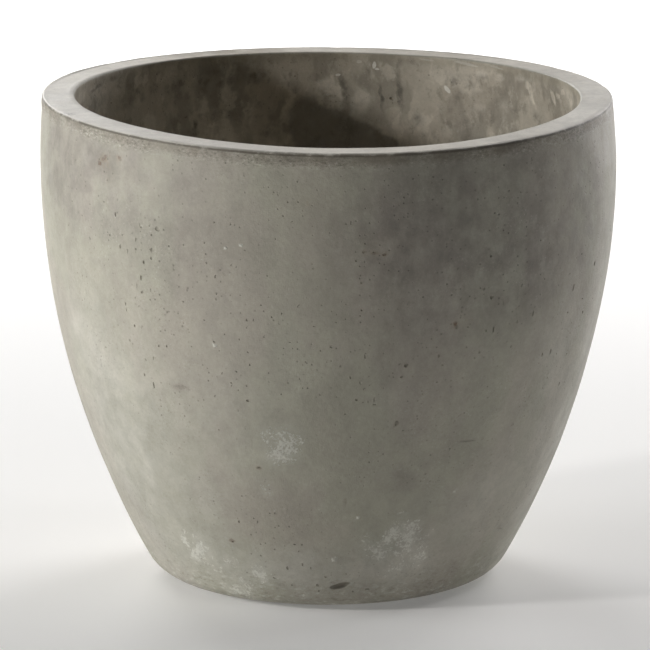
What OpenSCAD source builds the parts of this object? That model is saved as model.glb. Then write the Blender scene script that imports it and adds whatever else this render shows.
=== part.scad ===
// Round concrete planter, hand-cast, standing on four rubber pads.
// Millimetres. +Z is up. The origin is on the floor, at the middle of the pads'
// undersides, so the concrete itself starts pad_t above zero.
// The wall is a body of revolution: a long arc up to the widest line, a
// flatter arc above it that closes in towards the rim, and a rounded foot edge.

/* [Bowl] */
// Largest outside diameter, at the belly
bowl_d = 500; // [470:5:530]
// Height of the concrete, from its flat underside to the rim
bowl_h = 420; // [410:5:440]
// Height of the widest line above the underside
belly_h = 366.5; // [350:0.5:380]
// Radius of the long arc of the lower wall
wall_arc_r = 712; // [680:2:760]
// Radius of the arc between the widest line and the rim
shoulder_arc_r = 430; // [380:5:500]
// Radius of the rounded edge where the wall turns under
foot_edge_r = 33; // [28:1:38]
// Thickness of the wall, measured square to it
wall_t = 27.5; // [26:0.5:30]
// Thickness of the floor
floor_t = 32; // [30:1:38]
// Radius of the inside corner between wall and floor
inner_corner_r = 45; // [35:1:60]
// Bevel on the outer edge of the rim
rim_bevel = 1.5; // [0.5:0.5:3]
// Bevel on the inner edge of the rim
rim_inner_bevel = 0.6; // [0.2:0.2:1.6]

/* [Drain] */
// Diameter of the drain hole through the floor
drain_d = 30; // [24:1:36]
// Width of the bevel round the underside of the drain hole
drain_bevel = 3; // [1:0.5:5]

/* [Stopper] */
// Radial clearance between the stopper's land and the drain hole
stopper_fit = 0.05; // [0.02:0.01:0.1]
// Diameter of the stopper's head
stopper_head_d = 48; // [42:1:56]
// Thickness of the head at its edge
stopper_head_t = 4; // [3:0.5:6]
// Height that the head's crown rises above its edge
stopper_crown = 3; // [2:0.5:5]
// Gap kept between the head and the floor
stopper_seat_gap = 0.3; // [0.2:0.1:0.5]
// Length of the land, the straight stretch that seals
stopper_land = 12; // [8:1:14]
// Length of the tapered nose below the land
stopper_nose = 12; // [8:1:14]
// How far the nose narrows, in diameter
stopper_taper = 4; // [2:0.5:6]
// Width of the pull tab
tab_w = 18; // [14:1:22]
// Thickness of the pull tab
tab_t = 4.5; // [3.5:0.5:6]
// Height of the pull tab above the crown
tab_h = 13; // [11:1:16]
// Diameter of the finger hole through the tab
tab_hole_d = 7; // [5:0.5:8]

/* [Reinforcement] */
// Diameter of the steel wire
wire_d = 4; // [3:0.5:4.5]
// Depth of the staves' centre line below the outer face
stave_depth = 16; // [15:0.5:16]
// Gap left between a hoop and the staves it is tied to
tie_gap = 0.4; // [0.3:0.1:0.6]
// Depth of the staves' upper ends below the rim
stave_top = 14; // [12:1:18]
// Height of the rim hoop below the rim
rim_hoop_drop = 20; // [18:1:26]
// Height of the belly hoop above the underside
belly_hoop_h = 320; // [300:5:335]
// Height of the middle hoop above the underside
middle_hoop_h = 225; // [200:5:240]
// Height of the lower hoop above the underside
lower_hoop_h = 125; // [100:5:140]
// Height of the foot hoop above the underside
foot_hoop_h = 38; // [34:1:50]
// Distance from the axis to each of the straight bars in the floor
floor_bar_offset = 38; // [34:1:42]
// Length of a floor bar
floor_bar_len = 252; // [230:2:256]
// Radius of the small hoop that lies on the floor bars round the drain hole
drain_hoop_r = 26; // [24:0.5:28]

/* [Pads] */
// Diameter of a rubber pad
pad_d = 32; // [24:1:36]
// Thickness of a pad
pad_t = 3; // [2:0.5:4]
// Distance from the axis to a pad's middle
pad_r = 102; // [90:1:106]
// Bevel round the lower edge of a pad
pad_bevel = 0.6; // [0.2:0.1:1]

/* [Hidden] */

eps = 0.01;
concrete = [0.60, 0.58, 0.55];
steel = [0.46, 0.42, 0.39];
rubber = [0.16, 0.16, 0.17];

R = bowl_d / 2;
// Arc centres, in the plane of the profile: [distance from axis, height above the underside]
cw = [R - wall_arc_r, belly_h];
cs = [R - shoulder_arc_r, belly_h];
ce = [R - wall_arc_r + sqrt(pow(wall_arc_r - foot_edge_r, 2) - pow(belly_h - foot_edge_r, 2)), foot_edge_r];
// Slope, at the join between the long arc and the foot edge, of the line from the long arc's centre
join_a = asin((belly_h - foot_edge_r) / (wall_arc_r - foot_edge_r));
join_h = belly_h - wall_arc_r * sin(join_a);
// The same for the inside: wall arc concentric with the outer one, then the inner corner
ri_wall = wall_arc_r - wall_t;
ri_shoulder = shoulder_arc_r - wall_t;
ci = [cw[0] + sqrt(pow(ri_wall - inner_corner_r, 2) - pow(belly_h - floor_t - inner_corner_r, 2)), floor_t + inner_corner_r];
join_ai = asin((belly_h - ci[1]) / (ri_wall - inner_corner_r));
join_hi = belly_h - ri_wall * sin(join_ai);
// Radii of the rim's outer and inner edges before they are bevelled
rim_ro = cs[0] + sqrt(pow(shoulder_arc_r, 2) - pow(bowl_h - belly_h, 2));
rim_ri = cs[0] + sqrt(pow(ri_shoulder, 2) - pow(bowl_h - belly_h, 2));

stave_n = 8;
// Corner radius of a wire's channel, whose flats stand clear of the wire by channel_gap
channel_gap = 0.02;
channel_r = (wire_d / 2 + channel_gap) / cos(22.5);
stave_arc_r = wall_arc_r - stave_depth;
// Height of the two lower floor bars, of the two that cross them and of the drain hoop
floor_bar_h = [floor_t / 2 - wire_d - tie_gap, floor_t / 2, floor_t / 2 + wire_d + tie_gap];

// Radius of a hoop that is tied to the outer side of the staves at a given height
function hoop_r(h) = cw[0] + sqrt(pow(stave_arc_r + wire_d + tie_gap, 2) - pow(h - belly_h, 2));

// ---------- profiles ----------

// A slice of a disc between two heights, on the outer side of the axis
module disc_band(c, r, h0, h1) {
    intersection() {
        translate(c) circle(r = r, $fn = 720);
        polygon([[0, h0], [2 * R, h0], [2 * R, h1], [0, h1]]);
    }
}

// Shoulder arc over long arc, for either face of the wall
module wall_bands(shoulder_r, long_r, h0, h1) {
    disc_band(cs, shoulder_r, belly_h, h1);
    disc_band(cw, long_r, h0, belly_h);
}

module outer_profile() {
    wall_bands(shoulder_arc_r, wall_arc_r, join_h, bowl_h);
    union() {
        disc_band(ce, foot_edge_r, 0, join_h);
        square([ce[0], join_h]);
    }
}

module inner_profile() {
    wall_bands(ri_shoulder, ri_wall, join_hi, bowl_h + 10);
    union() {
        disc_band(ci, inner_corner_r, floor_t, join_hi);
        polygon([[0, floor_t], [ci[0], floor_t], [ci[0], join_hi], [0, join_hi]]);
    }
}

module wall_profile() {
    difference() {
        outer_profile();
        inner_profile();
        // drain hole and the bevel under it
        translate([-1, -1]) square([drain_d / 2 + 1, floor_t + 2]);
        polygon([[0, -1], [drain_d / 2 + drain_bevel + 1, -1], [drain_d / 2 - 1, drain_bevel + 1], [0, drain_bevel + 1]]);
        // rim bevels
        polygon([[rim_ro - rim_bevel, bowl_h], [rim_ro + 5, bowl_h - rim_bevel - 5], [rim_ro + 5, bowl_h + 5], [rim_ro - rim_bevel, bowl_h + 5]]);
        polygon([[rim_ri + rim_inner_bevel, bowl_h], [rim_ri + rim_inner_bevel, bowl_h + 5], [rim_ri - 5, bowl_h + 5], [rim_ri - 5, bowl_h - rim_inner_bevel - 5]]);
    }
}

// ---------- wire shapes ----------

// Section of a wire, or of the eight-sided channel that it fills in the concrete
module wire_section(channel) {
    if (channel) rotate([0, 0, 22.5]) circle(r = channel_r, $fn = 8);
    else circle(d = wire_d, $fn = 48);
}

module hoop_wire(r, h, channel) {
    translate([0, 0, h]) rotate_extrude($fn = 180) translate([r, 0]) wire_section(channel);
}

// One stave: a single arc, concentric with the wall's long arc, from just
// above the foot edge to just under the rim
module stave_wire(i, channel) {
    a0 = -asin((belly_h - foot_edge_r) / (wall_arc_r - foot_edge_r));
    a1 = asin((bowl_h - stave_top - belly_h) / stave_arc_r);
    rotate([0, 0, (i - 0.5) * 360 / stave_n])
        translate([cw[0], 0, cw[1]]) rotate([90, 0, 0]) rotate([0, 0, a0])
            rotate_extrude(angle = a1 - a0, $fn = 360) translate([stave_arc_r, 0]) wire_section(channel);
}

// One straight bar in the floor: 1 and 2 run along X, 3 and 4 cross over them
module floor_bar_wire(i, channel) {
    side = i % 2 == 1 ? 1 : -1;
    rotate([0, 0, i > 2 ? 90 : 0])
        translate([-floor_bar_len / 2, side * floor_bar_offset, floor_bar_h[i > 2 ? 1 : 0]])
            rotate([0, 90, 0]) linear_extrude(floor_bar_len) wire_section(channel);
}

module rim_hoop_wire(channel) { hoop_wire(hoop_r(bowl_h - rim_hoop_drop), bowl_h - rim_hoop_drop, channel); }
module belly_hoop_wire(channel) { hoop_wire(hoop_r(belly_hoop_h), belly_hoop_h, channel); }
module middle_hoop_wire(channel) { hoop_wire(hoop_r(middle_hoop_h), middle_hoop_h, channel); }
module lower_hoop_wire(channel) { hoop_wire(hoop_r(lower_hoop_h), lower_hoop_h, channel); }
module foot_hoop_wire(channel) { hoop_wire(hoop_r(foot_hoop_h), foot_hoop_h, channel); }
module drain_hoop_wire(channel) { hoop_wire(drain_hoop_r, floor_bar_h[2], channel); }

// ---------- pieces ----------

// The casting: one piece of concrete with the wires cast into it
module shell() {
    color(concrete) translate([0, 0, pad_t]) difference() {
        rotate_extrude($fn = 240) wall_profile();
        rim_hoop_wire(true);
        belly_hoop_wire(true);
        middle_hoop_wire(true);
        lower_hoop_wire(true);
        foot_hoop_wire(true);
        drain_hoop_wire(true);
        for (i = [1 : stave_n]) stave_wire(i, true);
        for (i = [1 : 4]) floor_bar_wire(i, true);
    }
}

module rim_hoop() { color(steel) translate([0, 0, pad_t]) rim_hoop_wire(false); }
module belly_hoop() { color(steel) translate([0, 0, pad_t]) belly_hoop_wire(false); }
module middle_hoop() { color(steel) translate([0, 0, pad_t]) middle_hoop_wire(false); }
module lower_hoop() { color(steel) translate([0, 0, pad_t]) lower_hoop_wire(false); }
module foot_hoop() { color(steel) translate([0, 0, pad_t]) foot_hoop_wire(false); }
module drain_hoop() { color(steel) translate([0, 0, pad_t]) drain_hoop_wire(false); }

module stave(i) { color(steel) translate([0, 0, pad_t]) stave_wire(i, false); }
module floor_bar(i) { color(steel) translate([0, 0, pad_t]) floor_bar_wire(i, false); }

// Rubber stopper: crowned head, straight land, tapered nose and a pull tab
module drain_stopper() {
    land_r = drain_d / 2 - stopper_fit;
    head_z = floor_t + stopper_seat_gap;
    dome_r = (pow(stopper_head_d / 2 - 1, 2) + pow(stopper_crown, 2)) / (2 * stopper_crown);
    color(rubber) translate([0, 0, pad_t]) {
        difference() {
            union() {
                rotate_extrude($fn = 96) {
                    // head with a crowned top
                    intersection() {
                        translate([0, head_z + stopper_head_t + stopper_crown - dome_r]) circle(r = dome_r, $fn = 720);
                        translate([0, head_z + 1]) square([stopper_head_d / 2, stopper_head_t + stopper_crown + 1]);
                    }
                    polygon([[0, head_z], [stopper_head_d / 2 - 0.6, head_z], [stopper_head_d / 2, head_z + 0.6],
                             [stopper_head_d / 2, head_z + stopper_head_t - 1], [stopper_head_d / 2 - 1, head_z + stopper_head_t],
                             [0, head_z + stopper_head_t]]);
                    // land and nose
                    polygon([[0, head_z - stopper_land - stopper_nose], [land_r - stopper_taper / 2 - 1, head_z - stopper_land - stopper_nose],
                             [land_r - stopper_taper / 2, head_z - stopper_land - stopper_nose + 1],
                             [land_r, head_z - stopper_land], [land_r, head_z + 1], [0, head_z + 1]]);
                }
                // pull tab, rounded over at the top
                translate([0, tab_t / 2, head_z + stopper_head_t]) rotate([90, 0, 0]) linear_extrude(tab_t) {
                    translate([-tab_w / 2, 0]) square([tab_w, stopper_crown + tab_h - tab_w / 2]);
                    translate([0, stopper_crown + tab_h - tab_w / 2]) circle(d = tab_w, $fn = 64);
                }
            }
            translate([0, tab_t, head_z + stopper_head_t + stopper_crown + tab_h - tab_w / 2]) rotate([90, 0, 0])
                cylinder(d = tab_hole_d, h = 2 * tab_t, $fn = 48);
        }
    }
}

// Glued rubber pad, one of four under the flat of the foot
module foot_pad(i) {
    color(rubber) rotate([0, 0, 45 + (i - 1) * 90]) translate([pad_r, 0, 0]) {
        cylinder(r1 = pad_d / 2 - pad_bevel, r2 = pad_d / 2, h = pad_bevel, $fn = 64);
        translate([0, 0, pad_bevel]) cylinder(d = pad_d, h = pad_t - pad_bevel, $fn = 64);
    }
}

shell();
rim_hoop();
belly_hoop();
middle_hoop();
lower_hoop();
foot_hoop();
stave(1);  // stave_1
stave(2);  // stave_2
stave(3);  // stave_3
stave(4);  // stave_4
stave(5);  // stave_5
stave(6);  // stave_6
stave(7);  // stave_7
stave(8);  // stave_8
floor_bar(1);  // floor_bar_1
floor_bar(2);  // floor_bar_2
floor_bar(3);  // floor_bar_3
floor_bar(4);  // floor_bar_4
drain_hoop();
drain_stopper();
foot_pad(1);  // foot_pad_1
foot_pad(2);  // foot_pad_2
foot_pad(3);  // foot_pad_3
foot_pad(4);  // foot_pad_4
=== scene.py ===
import math
import bpy
import numpy as np
from mathutils import Matrix, Vector


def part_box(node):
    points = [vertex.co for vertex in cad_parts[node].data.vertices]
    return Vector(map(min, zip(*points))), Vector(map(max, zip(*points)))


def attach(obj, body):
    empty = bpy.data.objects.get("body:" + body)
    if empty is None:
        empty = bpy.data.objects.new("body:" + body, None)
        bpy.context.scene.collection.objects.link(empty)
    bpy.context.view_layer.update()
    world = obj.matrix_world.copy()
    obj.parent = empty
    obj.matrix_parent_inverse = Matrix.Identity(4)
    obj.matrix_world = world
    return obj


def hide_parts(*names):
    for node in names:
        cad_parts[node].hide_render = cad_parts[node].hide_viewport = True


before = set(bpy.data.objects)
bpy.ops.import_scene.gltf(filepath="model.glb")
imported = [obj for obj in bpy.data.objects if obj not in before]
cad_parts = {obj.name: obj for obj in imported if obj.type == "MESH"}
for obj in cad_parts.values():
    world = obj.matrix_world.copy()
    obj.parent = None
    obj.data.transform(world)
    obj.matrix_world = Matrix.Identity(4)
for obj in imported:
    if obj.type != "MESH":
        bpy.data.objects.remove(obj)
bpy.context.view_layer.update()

scene = bpy.context.scene

# ------------------------------------------------------------------ profile
# Millimetres, heights above the underside of the concrete, which stands on pads PAD thick.
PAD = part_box("shell")[0].z * 1000.0
R, H, BELLY = 250.0, 420.0, 366.5
R_LONG, R_SHOULDER, R_FOOT = 712.0, 430.0, 33.0
WALL, FLOOR, R_CORNER = 27.5, 32.0, 45.0
DRAIN, BEVEL = 15.0, 3.0
EDGE, EDGE_IN = 2.2, 1.3          # rounding of the rim's outer and inner edges

cw = (R - R_LONG, BELLY)
cs = (R - R_SHOULDER, BELLY)
ce = (cw[0] + math.sqrt((R_LONG - R_FOOT) ** 2 - (BELLY - R_FOOT) ** 2), R_FOOT)
ja = math.asin((BELLY - R_FOOT) / (R_LONG - R_FOOT))
ri_w, ri_s = R_LONG - WALL, R_SHOULDER - WALL
ci = (cw[0] + math.sqrt((ri_w - R_CORNER) ** 2 - (BELLY - FLOOR - R_CORNER) ** 2), FLOOR + R_CORNER)
jai = math.asin((BELLY - ci[1]) / (ri_w - R_CORNER))
a_o = math.asin((H - EDGE - BELLY) / (R_SHOULDER - EDGE))
c_o = (cs[0] + (R_SHOULDER - EDGE) * math.cos(a_o), H - EDGE)
a_i = math.asin((H - EDGE_IN - BELLY) / (ri_s + EDGE_IN))
c_i = (cs[0] + (ri_s + EDGE_IN) * math.cos(a_i), H - EDGE_IN)
HALF = math.pi / 2

# kind, arc (centre, radius, from, to, side) or line (from, to), rows; side +1 faces away from the centre
SEGMENTS = [
    ("under", "line", (DRAIN + BEVEL, 0.0), (ce[0], 0.0), 9),
    ("foot", "arc", ce, R_FOOT, -HALF, -ja, 1, 10),
    ("wall", "arc", cw, R_LONG, -ja, 0.0, 1, 101),
    ("shoulder", "arc", cs, R_SHOULDER, 0.0, a_o, 1, 14),
    ("edge", "arc", c_o, EDGE, a_o, HALF, 1, 4),
    ("rim", "line", (c_o[0], H), (c_i[0], H), 6),
    ("edge_in", "arc", c_i, EDGE_IN, HALF, math.pi + a_i, 1, 3),
    ("shoulder_in", "arc", cs, ri_s, a_i, 0.0, -1, 12),
    ("wall_in", "arc", cw, ri_w, 0.0, -jai, -1, 60),
    ("corner", "arc", ci, R_CORNER, -jai, -HALF, -1, 8),
    ("floor", "line", (ci[0], FLOOR), (DRAIN, FLOOR), 10),
    ("hole", "line", (DRAIN, FLOOR), (DRAIN, BEVEL), 3),
    ("bevel", "line", (DRAIN, BEVEL), (DRAIN + BEVEL, 0.0), 1),
]
KINDS = [s[0] for s in SEGMENTS]


def seg_len(g):
    return math.dist(g[2], g[3]) if g[1] == "line" else g[3] * abs(g[5] - g[4])


STARTS = np.concatenate([[0.0], np.cumsum([seg_len(g) for g in SEGMENTS])])
TOTAL = STARTS[-1]


def profile(s):
    """Arrays r, z, nr, nz and kind for distances s along the closed profile."""
    s = np.mod(np.asarray(s, float), TOTAL)
    k = np.clip(np.searchsorted(STARTS, s, side="right") - 1, 0, len(SEGMENTS) - 1)
    r, z, nr, nz = (np.zeros_like(s) for _ in range(4))
    for i, g in enumerate(SEGMENTS):
        m = k == i
        t = s[m] - STARTS[i]
        if g[1] == "line":
            a, b = g[2], g[3]
            n = math.dist(a, b)
            dr, dz = (b[0] - a[0]) / n, (b[1] - a[1]) / n
            r[m], z[m], nr[m], nz[m] = a[0] + dr * t, a[1] + dz * t, dz, -dr
        else:
            c, rad, a0, a1, side = g[2:7]
            a = a0 + t / rad * (1 if a1 > a0 else -1)
            r[m], z[m] = c[0] + rad * np.cos(a), c[1] + rad * np.sin(a)
            nr[m], nz[m] = side * np.cos(a), side * np.sin(a)
    return r, z, nr, nz, k


def s_at(kind, z):
    """Distance along the profile at which an arc of this kind passes height z."""
    i = KINDS.index(kind)
    g = SEGMENTS[i]
    a = math.asin(max(-1.0, min(1.0, (z - g[2][1]) / g[3])))
    return STARTS[i] + g[3] * abs(a - g[4])


def s_outer(z):
    if z > BELLY:
        return s_at("shoulder", z)
    if z > BELLY - R_LONG * math.sin(ja):
        return s_at("wall", z)
    return s_at("foot", z)


# ------------------------------------------------------------------ noise
_tables = {}


def noise(P, seed):
    """Smooth gradient noise, roughly -1 to 1, at the rows of P."""
    if seed not in _tables:
        rng = np.random.RandomState(seed)
        p = rng.permutation(256)
        g = rng.normal(size=(256, 3))
        _tables[seed] = (np.concatenate([p, p]), g / np.linalg.norm(g, axis=1)[:, None])
    p, g = _tables[seed]
    i = np.floor(P).astype(np.int64)
    f = P - i
    u = f * f * f * (f * (f * 6 - 15) + 10)
    i &= 255
    out = np.zeros(len(P))
    for dx in (0, 1):
        for dy in (0, 1):
            for dz in (0, 1):
                h = p[p[p[(i[:, 0] + dx) & 255] + ((i[:, 1] + dy) & 255)] + ((i[:, 2] + dz) & 255)]
                v = ((f - (dx, dy, dz)) * g[h]).sum(1)
                w = (u[:, 0] if dx else 1 - u[:, 0]) * (u[:, 1] if dy else 1 - u[:, 1]) * (u[:, 2] if dz else 1 - u[:, 2])
                out += v * w
    return out * 1.5


def smooth(a, b, x):
    t = np.clip((x - a) / (b - a), 0, 1)
    return t * t * (3 - 2 * t)


# ------------------------------------------------------------------ the cast surface
# Height of the rim over its mean plane, once, twice and three times round, in mm: the real rim isn't flat
RIM_WAVE = ((-1.93, -0.20), (2.23, 0.71), (0.25, -0.48))
RIM_WAVE_GAIN = 0.9


def rim_wave(th):
    return RIM_WAVE_GAIN * sum(a * np.cos((n + 1) * th) + b * np.sin((n + 1) * th) for n, (a, b) in enumerate(RIM_WAVE))


# Chips along the rim's outer edge: angle in degrees, half width along the edge in mm, depth in mm
CHIPS = ((-128.5, 5, 0.5), (-119, 7, 0.4), (-112.5, 5, 0.6), (-104, 8, 0.5), (-97, 5, 0.6), (-90.5, 6, 0.5), (-82, 9, 0.5),
         (-71.5, 6, 0.5), (-62, 5, 0.5), (-53, 8, 0.4), (-41, 6, 0.5), (-28, 6, 0.4), (12, 7, 0.4), (33, 6, 0.5), (88, 6, 0.4),
         (141, 7, 0.4), (-166, 6, 0.4))


def surface(th, s):
    """Points in metres on the cast concrete, with its waviness, for angles th and profile distances s."""
    th, s = np.asarray(th, float), np.asarray(s, float)
    r, z, nr, nz, k = profile(s)
    c, sn = np.cos(th), np.sin(th)
    P = np.stack([r * c, r * sn, z], 1)
    kinds = np.array(KINDS)[k]
    inside = np.isin(kinds, ("shoulder_in", "wall_in", "corner", "floor", "edge_in"))
    rim = np.isin(kinds, ("rim", "edge", "edge_in"))
    fixed = np.isin(kinds, ("under", "hole", "bevel"))
    d = 0.55 * noise(P / 150.0, 11) + 0.20 * noise(P / 44.0, 12) + 0.075 * noise(P / 15.0, 13)
    # shallow flats left by a hand float on the inside, longer round the bowl than up it
    tool = P * (1 / 70.0, 1 / 70.0, 1 / 26.0)
    d_in = 0.8 * noise(P / 120.0, 14) + 0.34 * np.abs(noise(tool, 15)) + 0.12 * noise(P / 18.0, 16)
    d = np.where(inside, d_in, d)
    # the last centimetres under the rim were rubbed by hand and are rougher
    band = smooth(398, 414, z) * ~inside
    d += band * (0.16 * noise(P / 7.0, 17) + 0.12 * noise(P / 20.0, 18))
    d = np.where(kinds == "rim", 0.10 * noise(P / 34.0, 19) + 0.035 * noise(P / 10.0, 20), d)
    # a little out of round: flatter on the left, fuller on the right above the middle
    deg = np.degrees(th)
    round_off = -1.1 * np.exp(-(((deg + 180 + 180) % 360 - 180) / 50.0) ** 2) * smooth(20, 90, z)
    round_off += 1.0 * np.exp(-((deg - 0.0) / 40.0) ** 2) * smooth(215, 290, z) * (1 - smooth(365, 395, z))
    d += round_off * ~inside * smooth(417, 404, z)
    # keep the foot's flat, the drain and its surroundings true
    calm = np.where(kinds == "foot", smooth(2, 26, z), 1.0)
    calm = np.where(kinds == "floor", smooth(28, 60, r), calm)
    d = np.where(fixed, 0.0, d * calm)
    # chips eat into the outer edge
    edge_near = np.exp(-((s - (STARTS[KINDS.index("edge")] + STARTS[KINDS.index("edge") + 1]) / 2) / 2.6) ** 2)
    for a, w, depth in CHIPS:
        off = (deg - a + 180) % 360 - 180
        d -= depth * edge_near * np.exp(-(np.radians(off) * R / w) ** 2)
    P += d[:, None] * np.stack([nr * c, nr * sn, nz], 1)
    lift = smooth(300, 420, z) * (1 - smooth(0, 1, np.where(fixed, 1.0, 0.0)))
    P[:, 2] += rim_wave(th) * lift
    P[:, 2] += PAD
    return P * 0.001


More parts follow.
